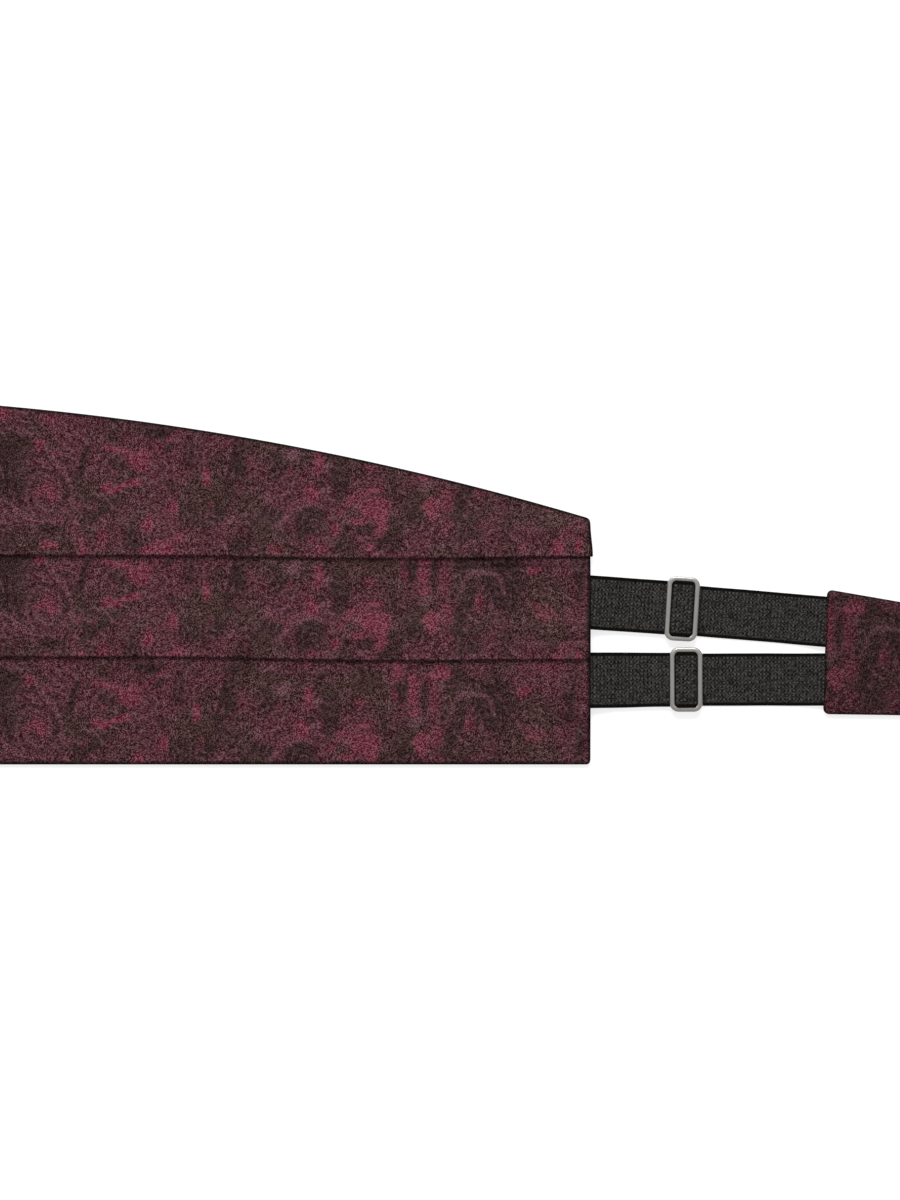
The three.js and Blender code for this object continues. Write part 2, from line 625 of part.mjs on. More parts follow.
// Everything beside the panel on one side: 1 is the right-hand side, -1 the left.
function sideGroup(side, word) {
  const group = new THREE.Group();
  const turned = (geometry) => (side > 0 ? geometry : mirroredInX(geometry));
  for (const row of strap_table) {
    const holder = new THREE.Group();
    holder.position.set(side * HALF_PANEL, row.at_panel, 0);
    holder.rotation.z = side * row.angle;
    holder.add(piece(`${word}_${row.name}_strap`, turned(strapGeometry(row)), elastic));
    const slider = piece(`${word}_${row.name}_slider`, turned(sliderGeometry()), satin_metal);
    slider.position.x = side * row.slider_distance;
    holder.add(slider);
    group.add(holder);
  }
  const middle = tabMiddle(TAB_LENGTH);
  const hook_hole = [[middle - HOOK_WIDTH / 2, middle + HOOK_WIDTH / 2]];
  const half_loop = LOOP_WIDTH / 2;
  const loop_holes = [
    [middle - half_loop, middle - half_loop + LOOP_BAR],
    [middle + half_loop - LOOP_BAR, middle + half_loop],
  ];
  const tab = piece(`${word}_tab`, turned(tabGeometry(side > 0 ? hook_hole : loop_holes)), jacquard);
  const clasp = side > 0
    ? piece("hook_clasp", turned(hookGeometry()), satin_metal)
    : piece("loop_clasp", turned(loopGeometry()), satin_metal);
  for (const mesh of [tab, clasp]) {
    mesh.position.x = side * TAB_X;
    group.add(mesh);
  }
  return group;
}

const cummerbund = new THREE.Group();
cummerbund.position.y = -PANEL_HEIGHT / 2;
cummerbund.add(piece("pleated_panel", panelGeometry(), jacquard));
cummerbund.add(sideGroup(1, "right"));
cummerbund.add(sideGroup(-1, "left"));

export default cummerbund;
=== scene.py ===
"""A pleated cummerbund laid out flat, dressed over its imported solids.

Sizes in the tables are millimetres and are turned to metres as a mesh is made. X runs along
the length, heights called "from the edge" run along Y from the panel's straight edge, and Z
is up, off the table that the cloth lies on.
"""

import math

import bpy
import numpy as np
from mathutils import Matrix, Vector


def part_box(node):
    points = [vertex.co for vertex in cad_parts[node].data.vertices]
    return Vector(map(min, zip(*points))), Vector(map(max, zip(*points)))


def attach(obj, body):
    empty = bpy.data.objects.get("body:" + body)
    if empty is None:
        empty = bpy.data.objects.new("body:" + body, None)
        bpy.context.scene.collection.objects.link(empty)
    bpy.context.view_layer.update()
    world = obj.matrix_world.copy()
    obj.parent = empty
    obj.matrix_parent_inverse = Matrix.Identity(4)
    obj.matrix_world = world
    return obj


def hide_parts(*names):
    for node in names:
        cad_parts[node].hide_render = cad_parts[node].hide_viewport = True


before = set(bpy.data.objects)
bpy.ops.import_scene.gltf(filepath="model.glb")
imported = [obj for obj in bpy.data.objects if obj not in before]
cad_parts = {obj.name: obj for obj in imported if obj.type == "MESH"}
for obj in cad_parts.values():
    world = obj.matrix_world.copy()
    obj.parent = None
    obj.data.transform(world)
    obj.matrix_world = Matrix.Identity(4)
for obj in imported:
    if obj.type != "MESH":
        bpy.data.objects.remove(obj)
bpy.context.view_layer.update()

bl_info = {
    "name": "Pleated Cummerbund",
    "version": (1, 0, 0),
    "blender": (4, 5, 0),
    "location": "View3D > Sidebar > Cummerbund",
    "description": "Builds a pleated jacquard cummerbund with adjustable elastic straps",
    "category": "Add Mesh",
}

MM = 0.001
SHARP_ANGLE = 50.0  # edges that bend by more, in degrees, stay sharp

# Panel, in millimetres
BACK_THICKNESS = 1.0
FACE_LEVEL = 2.4  # top of a single pleat's face
SLIT = 0.3  # between two layers of the folded cloth
UNDERLAP = 9.0  # how far a pleat's cloth runs on under the next one
FALL = 10.0  # length over which a pleat comes down off the layers under it
ARCH_FULLNESS = 2.1  # power of the curved edge, 2 is a parabola
EDGE_ROUNDING = 0.6  # how far in from the edge the cloth starts to turn down
BACK_TURN = 6.0  # width of the front cloth turned on to the back
BACK_GAP = 0.3  # from the turned-on cloth to the back
EDGE_ALLOWANCE = 1.4  # cloth that goes round an outer edge
HEM_WIDTH = 4.6  # turned-in end of the panel
HEM_RISE = 0.22
HEM_FALL = 0.7
WAVES = ((0.34, 46.0, 21), (0.14, 17.0, 22))  # soft waves of the face: rise, length and seed
WAVES_FROM_EDGE = 6.0
WAVES_FROM_END = 12.0
STRAP_POCKET_DEPTH = 10.3
STRAP_ROOM = 1.5
STRAP_LIFT = 2.15  # how much the sewn-in straps lift the front
LIFT_ACROSS = 6.0
LIFT_ALONG = 14.0
COLUMN_STEP_NEAR = 0.8  # along the half that the camera sees
COLUMN_STEP_FAR = 1.6
NEAR_FROM = 96.0
UPPER_FOLD = 79.4  # the top pleat's folded edge at the ends, from the edge
END_CORNER = 1.5  # rounding of the panel's four corners
TOP_OVERHANG = 0.9  # how far the top pleat's end stands out past the others
OVERHANG_ALONG = 26.0
OVERHANG_UP = 12.0
CREASE_BELOW = 3.4  # a pressed crease under the top pleat's edge, near the end
CREASE_FROM = 255.0
CREASE_DEPTH = 0.3
CREASE_WIDTH = 0.55
CREASE_FADE = 30.0

# Painted light: shares by which the cloth's colour is lightened as a painted highlight along the folds
# and darkened as painted shade at its outline, in the pressed crease and in the valley above it, and where
# these lie, in millimetres
FOLD_HIGHLIGHT = 0.14
FOLD_HIGHLIGHT_AT = 1.3
FOLD_HIGHLIGHT_WIDTH = 0.8
EDGE_SHADE = 0.9
EDGE_FROM = 0.5
EDGE_WIDTH = 0.9
CREASE_SHADE = 0.5
VALLEY_SHADE = 0.2

# Small wander of the two folded edges: share of the half length from the middle, then
# how far the lower and the upper fold lie above their places, in millimetres
FOLD_WANDER = (
    (-1.0, 0.0, 0.0),
    (-0.45, 0.48, -0.32),
    (0.3, 0.57, 0.4),
    (0.5, 0.69, 0.2),
    (0.77, -0.73, -0.89),
    (1.0, -0.32, -0.24),
)

# Straps, in millimetres. The right-hand side; the left-hand side mirrors it.
STRAP_RUN_ACROSS = 89.4  # between the panel's end and the tab's end
STRAP_WIDTH = 20.0
STRAP_IN_CLOTH = 8.0
STRAP_STEP = 1.3  # from one strap layer to the next
STRAP_IN_CLOTH_LEVEL = 1.8  # centre of a strap between two cloths
STRAP_LEVEL_RUN = 1.5
STRAP_DESCENT = 8.5
SHARP_BEND = 0.8
SOFT_BEND = 6.0
STRAP_GRID = 0.9
BAR_SPREAD = 0.028  # share by which the strap lies wider over the bar
BAR_SPREAD_REACH = 3.4
BAR_SPREAD_FADE = 1.2
SLIDER_HIDES = (3.9, 6.2)  # from the slider's middle, under its frame
SIDES = ((1, "right"), (-1, "left"))
STRAPS = (
    # name, middle at the panel, middle at the tab, slider's distance, sideways bow, how much
    # wider the strap lies at the panel, and how much narrower and how far over to the
    # straight side the single, tighter run is
    ("lower", 32.1, 32.4, 36.4, 0.12, 0.7, 0.5, 0.0),
    ("upper", 61.8, 54.7, 35.0, 0.3, 0.1, 1.3, 0.3),
)

# Sliders, in millimetres
SLIDER_LENGTH = 12.5
SLIDER_WIDTH = 24.5
SLIDER_CORNER = 3.3
MIDDLE_BAR = 1.8
BAR_THICKNESS = 1.0
BAR_ROOM = 0.6  # between the bar and the strap over it
FRAME_WIDTH = 1.95
SLIDER_FOLLOWS = 0.75  # share of its strap's slant that a slider takes up
FRAME_LOW = 2.6
FRAME_THICKNESS = 1.6

# Tabs, in millimetres
TAB_LENGTH = 130.0
TAB_THICKNESS = 3.6
TAB_AT_STRAPS = (19.2, 66.8)  # both long edges, from the panel's straight edge
TAB_AT_END = (17.2, 44.9)
TAB_CORNER = 2.3
TAB_ROUNDING = 1.35
TAB_LEAN = 1.5
TAB_LEAN_LENGTH = 30.0
TAB_X = 424.4
TAB_CROWN = 0.28  # share by which the tab is thinner near its rim
TAB_CROWN_REACH = 7.0
TAB_SEAM = 0.12  # half the gap between the tab's cloths at its rim
TAB_SHADE = 0.7  # painted shade: the tabs are coloured darker, as if turned a little from the light
TAB_CHART = (421.0, 419.0)  # where the tab's upper corner lies on the chart
GROOVE_DEPTH = 0.45
GROOVE_TURN = 8.0

# Hook and loop, in millimetres
CLASP_SHEET = 1.0
CLASP_IN_TAB = (8.0, 4.8)  # how far the hook and the loop reach into their tabs
LOOP_BAR = 2.0
LOOP_REACH = 7.4  # clear of the tab
LOOP_WIDTH = 22.0
HOOK_WIDTH = 14.0
HOOK_BEND = 1.5
HOOK_LIP = 2.8

# Light, in metres
SOFTBOX_PLACE = (0.2, 1.75, 1.95)

# Camera: the photograph's frame on the table, in millimetres
VIEW_CENTRE = (281.5, -8.0)
VIEW_TALL = 457.1
VIEW_DISTANCE = 2200.0


def linear(colour):
    """Turns an sRGB hex colour into linear red, green and blue."""
    parts = [int(colour[i : i + 2], 16) / 255 for i in (1, 3, 5)]
    return tuple(c / 12.92 if c <= 0.04045 else ((c + 0.055) / 1.055) ** 2.4 for c in parts)


def smooth(share):
    """Eases from 0 to 1 as share goes from 0 to 1."""
    t = np.clip(share, 0.0, 1.0)
    return t * t * (3 - 2 * t)


def panel_box():
    """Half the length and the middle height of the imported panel, in millimetres."""
    low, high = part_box("pleated_panel")
    return (high[0] - low[0]) / MM / 2, (high[1] - low[1]) / MM


HALF_LENGTH, HEIGHT = panel_box()


# The jacquard's repeat, charted. One thread is 0.381 mm. X runs along the cloth
# and Y down it. A spot is x, y, across, down, strength.
THREAD = 0.381
REPEAT_ACROSS = 620.0
REPEAT_DOWN = 165.0
SPOT_FALL = 4.0  # power with which a spot fades from its middle
STROKE_FALL = 2.4
STROKE_EDGE = 0.8
OUTLINE_BEND = 4.0  # how far the weave's steps bend an outline
FAR_AWAY = 1e9
CHART_END = 590.5  # where the panel's right end and its straight edge lie on the chart
CHART_EDGE = 764.7
CHART_SHIFTS = {"bottom": (10, -236), "middle": (0, -114), "top": (0, 0)}

SHADE_SPOTS = (
    (8, 465, 44, 75, 0.9), (20, 445, 24, 20, 0.9), (118, 462, 30, 14, 0.5), (130, 478, 14, 8, 0.8),
    (131, 536, 13, 30, 0.7), (138, 548, 10, 14, 0.8), (157, 432, 40, 14, 0.8), (168, 446, 10, 12, 0.8),
    (190, 455, 20, 40, 0.5), (172, 485, 14, 14, 0.5), (190, 515, 24, 30, 0.6), (8, 538, 20, 40, 0.5),
    (52, 527, 30, 6, 0.8), (66, 540, 10, 22, 0.7), (62, 551, 5, 5, 0.8), (252, 432, 40, 14, 0.8),
    (238, 462, 16, 44, 0.9), (226, 490, 20, 30, 0.8), (216, 512, 24, 30, 0.8), (242, 545, 22, 16, 0.9),
    (268, 520, 40, 26, 0.95), (275, 462, 16, 50, 0.6), (340, 470, 20, 60, 0.8), (378, 445, 30, 24, 1),
    (310, 520, 34, 34, 0.9), (303, 536, 8, 8, 1), (345, 545, 26, 20, 0.6), (365, 530, 20, 14, 0.6),
    (395, 545, 16, 20, 0.6), (322, 485, 8, 18, 0.6), (345, 490, 20, 6, 0.5), (412, 455, 14, 24, 0.9),
    (395, 490, 10, 20, 0.5), (412, 510, 22, 30, 0.8), (395, 530, 26, 20, 0.7), (385, 545, 20, 20, 0.8),
    (435, 460, 8, 44, 0.6), (467, 450, 16, 40, 0.9), (505, 470, 44, 56, 0.9), (487, 487, 10, 12, 0.9),
    (447, 541, 10, 8, 0.9), (478, 545, 8, 6, 0.9), (470, 535, 30, 20, 0.6), (465, 520, 20, 20, 0.6),
    (505, 530, 20, 30, 0.4), (580, 465, 14, 50, 0.6), (590, 505, 14, 40, 0.8),
)

BLOOM_SPOTS = (
    (2, 412, 14, 18, 0.9), (50, 420, 26, 12, 0.6), (40, 445, 12, 14, 0.8), (58, 452, 20, 8, 0.5),
    (38, 492, 8, 18, 0.8), (51, 496, 9, 14, 1), (45, 488, 22, 16, 0.7), (140, 460, 24, 22, 1),
    (144, 466, 14, 12, 0.9), (112, 490, 16, 10, 1), (148, 524, 14, 18, 1), (147, 550, 14, 12, 1),
    (173, 508, 11, 18, 0.9), (164, 548, 22, 20, 0.95), (178, 538, 14, 12, 0.8), (208, 476, 9, 20, 1),
    (103, 538, 12, 26, 0.7), (50, 545, 24, 8, 0.9), (83, 545, 6, 24, 0.9), (75, 530, 16, 40, 0.4),
    (78, 505, 14, 12, 0.4), (60, 430, 8, 10, 0.4), (212, 505, 7, 12, 0.6), (207, 517, 5, 6, 0.5),
    (222, 442, 18, 10, 0.3), (289, 471, 6, 10, 0.7), (318, 462, 12, 26, 0.9), (313, 493, 13, 20, 1),
    (375, 508, 36, 24, 1), (382, 520, 14, 26, 0.9), (379, 533, 10, 10, 0.9), (370, 468, 22, 12, 0.5),
    (358, 521, 24, 10, 0.7), (335, 530, 11, 14, 1), (322, 549, 14, 8, 1), (371, 550, 9, 9, 1),
    (313, 540, 5, 8, 0.7), (275, 550, 20, 14, 0.6), (318, 430, 12, 10, 0.6), (408, 434, 11, 20, 0.9),
    (403, 458, 12, 14, 0.6), (424, 445, 14, 10, 0.9), (424, 460, 10, 24, 1), (424, 477, 14, 8, 1),
    (450, 440, 26, 14, 1), (452, 432, 18, 10, 0.8), (445, 465, 16, 40, 0.5), (432, 508, 16, 26, 1),
    (445, 500, 20, 30, 0.6), (447, 530, 12, 30, 0.4), (535, 456, 14, 10, 0.9), (545, 500, 24, 20, 0.6),
    (536, 492, 10, 12, 0.5), (480, 488, 12, 14, 0.6), (558, 547, 14, 14, 1), (577, 545, 10, 20, 0.9),
    (565, 535, 20, 20, 0.5), (523, 548, 8, 10, 0.7), (560, 430, 40, 20, 0.4),
)

PALE_SPOTS = (
    (135, 500, 16, 14, 0.4), (293, 453, 22, 14, 0.6), (328, 468, 5, 14, 0.6), (340, 443, 12, 8, 0.5),
    (358, 455, 6, 12, 0.4), (397, 443, 8, 10, 0.5), (270, 497, 20, 10, 0.5), (253, 490, 10, 12, 0.4),
    (275, 432, 20, 12, 0.5), (425, 485, 20, 10, 0.5), (492, 490, 5, 14, 0.7), (472, 545, 10, 10, 0.6),
    (520, 435, 16, 10, 0.4),
)


def arc(x, y, radius, start, end, count=9):
    """Points on an arc, with the angles in degrees, clockwise from the right on the cloth."""
    turns = [math.radians(start + (end - start) * i / (count - 1)) for i in range(count)]
    return tuple((x + radius * math.cos(a), y + radius * math.sin(a)) for a in turns)


# A stroke is its width, strength and points.
SHADE_STROKES = (
    (5, 0.9, arc(177, 480, 96, 157, 201)),
    (8, 0.8, ((90, 520), (115, 500))),
    (12, 0.9, ((472, 478), (464, 498), (455, 515))),
    (4, 0.5, arc(42, 492, 24, 0, 360, 25)),
    (4, 0.45, arc(42, 492, 38, 0, 360, 25)),
)
BLOOM_STROKES = (
    (6, 0.8, ((104, 447), (120, 450), (132, 456))),
    (6, 0.5, ((152, 452), (166, 441), (180, 432))),
    (8, 1.0, ((105, 488), (122, 487), (138, 482))),
    (4, 0.4, arc(315, 533, 33, 190, 270)),
    (7, 0.7, arc(385, 540, 52, 212, 265)),
    (4, 0.5, arc(262, 462, 12, 120, 250)),
)
PALE_STROKES = (
    (4, 0.6, arc(-5, 505, 78, 288, 349)),
    (3, 0.5, ((0, 498), (30, 515), (45, 518))),
    (4, 0.6, arc(483, 478, 22, 180, 360)),
    (3, 0.5, arc(447, 541, 7, 0, 360, 13)),
    (7, 0.6, ((277, 526), (298, 506), (327, 488))),
    (3, 0.5, ((550, 430), (565, 437), (580, 442))),
    (3, 0.4, arc(42, 492, 17, 0, 360, 21)),
    (3, 0.35, arc(42, 492, 31, 0, 360, 25)),
)


def lattice_noise(x, y, cell, seed):
    """Smooth noise from 0 to 1 that wanders over about one cell, the same each run."""
    table = np.random.default_rng(seed).random((64, 64))
    u = x / cell
    v = y / cell
    i = np.floor(u).astype(int)
    j = np.floor(v).astype(int)
    s = smooth(u - i)
    t = smooth(v - j)
    corner = [[table[(i + a) % 64, (j + b) % 64] for b in (0, 1)] for a in (0, 1)]
    low = corner[0][0] * (1 - s) + corner[1][0] * s
    high = corner[0][1] * (1 - s) + corner[1][1] * s
    return low * (1 - t) + high * t


def wrapped(value, centre, period):
    """Distance from the nearest repeat of centre."""
    return (value - centre + period / 2) % period - period / 2


def charted(x, y, spots, strokes):
    """How strongly each place is covered by the nearest of a layer's spots and strokes, 0 to 1."""
    layer = np.zeros_like(x)
    for cx, cy, across, down, strength in spots:
        dx = wrapped(x, cx, REPEAT_ACROSS) / (across / 2)
        dy = wrapped(y, cy, REPEAT_DOWN) / (down / 2)
        layer = np.maximum(layer, strength * np.exp(-(np.hypot(dx, dy) ** SPOT_FALL)))
    for width, strength, points in strokes:
        middle = np.mean(points, axis=0)
        px = wrapped(x, middle[0], REPEAT_ACROSS)
        py = wrapped(y, middle[1], REPEAT_DOWN)
        nearest = np.full_like(x, FAR_AWAY)
        line = np.array(points) - middle
        for (ax, ay), (bx, by) in zip(line, line[1:]):
            length = (bx - ax) ** 2 + (by - ay) ** 2
            t = np.clip(((px - ax) * (bx - ax) + (py - ay) * (by - ay)) / length, 0, 1)
            nearest = np.minimum(nearest, np.hypot(px - ax - t * (bx - ax), py - ay - t * (by - ay)))
        reach = width / 2 + STROKE_EDGE
        layer = np.maximum(layer, strength * np.exp(-((nearest / reach) ** STROKE_FALL)))
    return layer


# The scrolls' centres, round which fine lines run: x, y, and how wide against how tall.
SCROLL_CENTRES = (
    (42, 492, 1.0), (139, 470, 1.2), (90, 540, 0.8), (176, 520, 0.7), (222, 470, 0.8), (262, 462, 1.1),
    (313, 522, 1.0), (340, 455, 0.9), (380, 508, 1.3), (424, 462, 0.7), (447, 541, 1.0), (487, 490, 1.1),
    (545, 500, 1.2), (540, 445, 1.3), (600, 470, 0.8), (110, 425, 1.2), (205, 550, 1.1), (395, 430, 1.0),
    (20, 560, 1.2), (570, 560, 1.1), (300, 430, 1.3), (500, 550, 1.0),
)


def echo_at(x, y):
    """Distance from the nearest scroll's centre, in threads, with a slow waver."""
    nearest = np.full_like(x, FAR_AWAY)
    for cx, cy, wide in SCROLL_CENTRES:
        dx = wrapped(x, cx, REPEAT_ACROSS) / wide
        dy = wrapped(y, cy, REPEAT_DOWN) * wide
        nearest = np.minimum(nearest, np.hypot(dx, dy))
    return nearest + 9.0 * (lattice_noise(x, y, 15.0, 61) - 0.5)


def figure_at(x, y, tone):
    """Bloom, shade and pale line of the figured cloth at places of its chart, in threads.

    The last value is the tone: 1 on the open cloth, less where shade is painted along edges, creases and
    seams, and more where a highlight is painted along the folds.
    """
    bend_x, bend_y = (
        lattice_noise(x, y, 9.0, seed) + 0.5 * lattice_noise(x, y, 4.0, seed + 1) - 0.75 for seed in (11, 13)
    )
    x = x + OUTLINE_BEND * bend_x
    y = y + OUTLINE_BEND * bend_y
    bloom = charted(x, y, BLOOM_SPOTS, BLOOM_STROKES)
    shade = charted(x, y, SHADE_SPOTS, SHADE_STROKES)
    pale = charted(x, y, PALE_SPOTS, PALE_STROKES)
    return np.stack([bloom, shade * (1 - bloom), pale * (1 - bloom), tone], axis=-1)


def mesh_piece(name, points, faces, cloth_uv, material):
    """Makes a closed mesh from points in millimetres and faces, turned to face outwards."""
    points = np.asarray(points, dtype=float) * MM
    triangles = np.array([(f[0], f[i], f[i + 1]) for f in faces for i in range(1, len(f) - 1)])
    a, b, c = (points[triangles[:, i]] for i in range(3))
    if np.einsum("ij,ij->i", a, np.cross(b, c)).sum() < 0:
        faces = [tuple(reversed(f)) for f in faces]
    mesh = bpy.data.meshes.new(name)
    mesh.from_pydata(points.tolist(), [], [tuple(int(i) for i in f) for f in faces])
    corners = np.empty(len(mesh.loops), dtype=np.int32)
    mesh.loops.foreach_get("vertex_index", corners)
    layer = mesh.uv_layers.new(name="cloth")
    layer.data.foreach_set("uv", np.asarray(cloth_uv, dtype=np.float32)[corners].ravel())
    mesh.polygons.foreach_set("use_smooth", [True] * len(mesh.polygons))
    mesh.set_sharp_from_angle(angle=math.radians(SHARP_ANGLE))
    mesh.materials.append(material)
    mesh.validate()
    mesh.update()
    piece = bpy.data.objects.new(name, mesh)
    bpy.context.scene.collection.objects.link(piece)
    return piece


def figured_piece(name, points, faces, chart_x, chart_y, tone, material):
    """A closed mesh with the cloth's figure charted on its points."""
    piece = mesh_piece(name, points, faces, np.column_stack([chart_x, chart_y]) * THREAD, material)
    figure = piece.data.color_attributes.new(name="figure", type="FLOAT_COLOR", domain="POINT")
    figure.data.foreach_set("color", figure_at(chart_x, chart_y, tone).astype(np.float32).ravel())
    echo = piece.data.attributes.new(name="echo", type="FLOAT", domain="POINT")
    echo.data.foreach_set("value", echo_at(chart_x, chart_y).astype(np.float32))
    return piece


def dress(piece, node_name):
    """Puts a piece on the part's one body and hides the CAD node that it stands for."""
    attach(piece, "root")
    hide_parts(node_name)


def tube_faces(rows, size):
    """Four-sided faces between rows of points that each close into a ring."""
    across = np.arange(size)
    base = (np.arange(rows - 1) * size)[:, None]
    a = base + across
    b = base + (across + 1) % size
    return np.stack([a, b, b + size, a + size], axis=-1).reshape(-1, 4).tolist()


def zipper(first, second):
    """Triangles between two chains of points that run side by side."""
    faces = []
    i = 0
    j = 0
    while i < len(first) - 1 or j < len(second) - 1:
        ahead_first = (i + 1) / max(1, len(first) - 1)
        ahead_second = (j + 1) / max(1, len(second) - 1)
        if j == len(second) - 1 or (i < len(first) - 1 and ahead_first <= ahead_second):
            faces.append((first[i], first[i + 1], second[j]))
            i += 1
        else:
            faces.append((first[i], second[j + 1], second[j]))
            j += 1
    return faces


def strip_piece(name, xs, chains, kept, thickness, origin, shift, tone, material, overhang=0.0):
    """A folded strip of cloth, drawn out along X.

    chains gives the strip's centre line in the YZ plane at each x, as (columns, points, 2).
    kept lists which of those points the hidden side keeps, origin is where on the open cloth
    each centre line starts, and shift moves the strip over the chart.
    """
    columns, count = chains.shape[:2]
    along = np.gradient(chains, axis=1)
    along /= np.linalg.norm(along, axis=2, keepdims=True)
    normal = np.stack([-along[..., 1], along[..., 0]], axis=-1)
    half = np.full(columns, thickness / 2)
    half[[0, -1]] *= 0.55
    half[[1, -2]] *= 0.9
    offset = normal * half[:, None, None]
    ring = np.concatenate([chains + offset, (chains - offset)[:, kept][:, ::-1]], axis=1)
    size = ring.shape[1]
    x = np.repeat(xs, size)
    points = np.column_stack([x, ring.reshape(-1, 2)])
    steps = np.linalg.norm(np.diff(chains, axis=1), axis=2)
    run = np.concatenate([np.zeros((columns, 1)), np.cumsum(steps, axis=1)], axis=1)
    run = np.concatenate([run, run[:, kept][:, ::-1]], axis=1).ravel()
    cap = zipper(list(range(count)), list(range(size - 1, count - 1, -1)))
    last = (columns - 1) * size
    faces = tube_faces(columns, size) + [tuple(reversed(f)) for f in cap]
    faces += [tuple(last + i for i in f) for f in cap]
    tones = tone(x, points[:, 1])
    beside = smooth((np.abs(x) - xs[-1] + OVERHANG_ALONG) / OVERHANG_ALONG)
    below = 1 - smooth((points[:, 1] - UPPER_FOLD) / OVERHANG_UP)
    points[:, 0] += np.sign(x) * overhang * beside * below
    points[:, 1] -= HEIGHT / 2
    chart_x = (x - HALF_LENGTH) / THREAD + CHART_END + shift[0]
    chart_y = CHART_EDGE - (np.repeat(origin, size) + run) / THREAD + shift[1]
    return figured_piece(name, points, faces, chart_x, chart_y, tones, material)


def columns_along():
    """Places along X where the panel's cloth has a row of points."""
    last = HALF_LENGTH - 0.8
    far = np.linspace(-last, NEAR_FROM, int((HALF_LENGTH + NEAR_FROM) / COLUMN_STEP_FAR))
    near = np.linspace(NEAR_FROM, last, int((HALF_LENGTH - NEAR_FROM) / COLUMN_STEP_NEAR))[1:]
    return np.concatenate([[-HALF_LENGTH, -HALF_LENGTH + 0.3], far, near, [HALF_LENGTH - 0.3, HALF_LENGTH]])


def wander(xs, column):
    """How far a folded edge lies above its place."""
    share = xs / HALF_LENGTH
    result = np.zeros_like(xs)
    for before, after in zip(FOLD_WANDER, FOLD_WANDER[1:]):
        inside = (share >= before[0]) & (share <= after[0])
        t = smooth((share - before[0]) / (after[0] - before[0]))
        result = np.where(inside, before[column] + (after[column] - before[column]) * t, result)
    return result + 0.12 * (lattice_noise(xs, xs * 0 + column * 7.3, 14.0, 31) - 0.5)


def arch_height(xs, cloth):
    """Height of the panel's curved edge from its straight edge."""
    end = (cloth.bottom_pleat + cloth.middle_pleat + cloth.top_pleat) / MM
    return HEIGHT - (HEIGHT - end) * (np.abs(xs) / HALF_LENGTH) ** ARCH_FULLNESS


def cloth_lift(xs, ys):
    """How much the front stands up at a place: over the straps, at the hem and in soft waves."""
    from_end = HALF_LENGTH - np.abs(xs)
    along = 1 - smooth((from_end - STRAP_POCKET_DEPTH) / LIFT_ALONG)
    across = np.zeros_like(ys)
    for _, at_panel, at_tab, *_ in STRAPS:
        slope = (at_tab - at_panel) / STRAP_RUN_ACROSS
        middle = at_panel - slope * np.minimum(from_end, STRAP_POCKET_DEPTH)
        beyond = np.abs(ys - middle) - STRAP_WIDTH / 2 - STRAP_ROOM
        across = np.maximum(across, 1 - smooth(beyond / LIFT_ACROSS))
    hem = HEM_RISE * (1 - smooth((from_end - HEM_WIDTH) / HEM_FALL))
    waves = sum(rise * (lattice_noise(xs, ys, length, seed) - 0.5) for rise, length, seed in WAVES)
    fade = smooth(ys / WAVES_FROM_EDGE) * smooth(from_end / WAVES_FROM_END)
    return STRAP_LIFT * along * across + hem + waves * fade


def crease_share(xs, ys):
    """How near a place is to the pressed crease below the top pleat, 0 to 1."""
    away = ys - UPPER_FOLD - wander(xs, 2) + CREASE_BELOW
    return smooth((xs - CREASE_FROM) / CREASE_FADE) * np.exp(-((away / CREASE_WIDTH) ** 2))


def panel_tone(cloth):
    """Painted shade along the panel's outline, in the crease and in the valley above it, and a painted
    highlight along the folds.
    """
    def tone(x, y):
        gap = np.minimum(np.minimum(y, arch_height(x, cloth) - y), HALF_LENGTH - np.abs(x))
        upper = UPPER_FOLD + wander(x, 2)
        lower = cloth.bottom_pleat / MM + wander(x, 1)
        # Painted shade in the valley between the top pleat's fold and the crease below it, near the ends.
        valley = smooth((x - CREASE_FROM) / CREASE_FADE) * ((y < upper) & (y > upper - CREASE_BELOW))
        # Painted highlight just above each folded edge.
        highlight = sum(np.exp(-(((y - fold - FOLD_HIGHLIGHT_AT) / FOLD_HIGHLIGHT_WIDTH) ** 2)) for fold in (upper, lower))
        # Painted shade along the panel's outline, where the cloth turns down.
        edge = 1 - EDGE_SHADE * (1 - smooth((gap - EDGE_FROM) / EDGE_WIDTH))
        # Painted shade in the pressed crease and in that valley.
        crease = (1 - CREASE_SHADE * crease_share(x, y)) * (1 - VALLEY_SHADE * valley)
        return edge * (1 + FOLD_HIGHLIGHT * highlight) * crease
    return tone


def flat(value):
    """A level that is the same everywhere."""
    return lambda ys: np.full_like(ys, value)


def half_turn(y, low, high, reach, count):
    """Points of a flattened half turn between two levels, its round side towards reach."""
    angles = np.linspace(-math.pi / 2, math.pi / 2, count)[1:]
    middle = (low + high)[:, None] / 2
    half = (high - low)[:, None] / 2
    return np.stack([y[:, None] + reach * np.cos(angles), middle + half * np.sin(angles)], axis=-1)


def straight_run(start, end, count, level, skip_first=True):
    """Points from start to end along Y, at the height that level gives for each."""
    shares = np.linspace(0, 1, count)[1 if skip_first else 0 :]
    ys = start[:, None] + (end - start)[:, None] * shares
    return np.stack([ys, level(ys)], axis=-1)


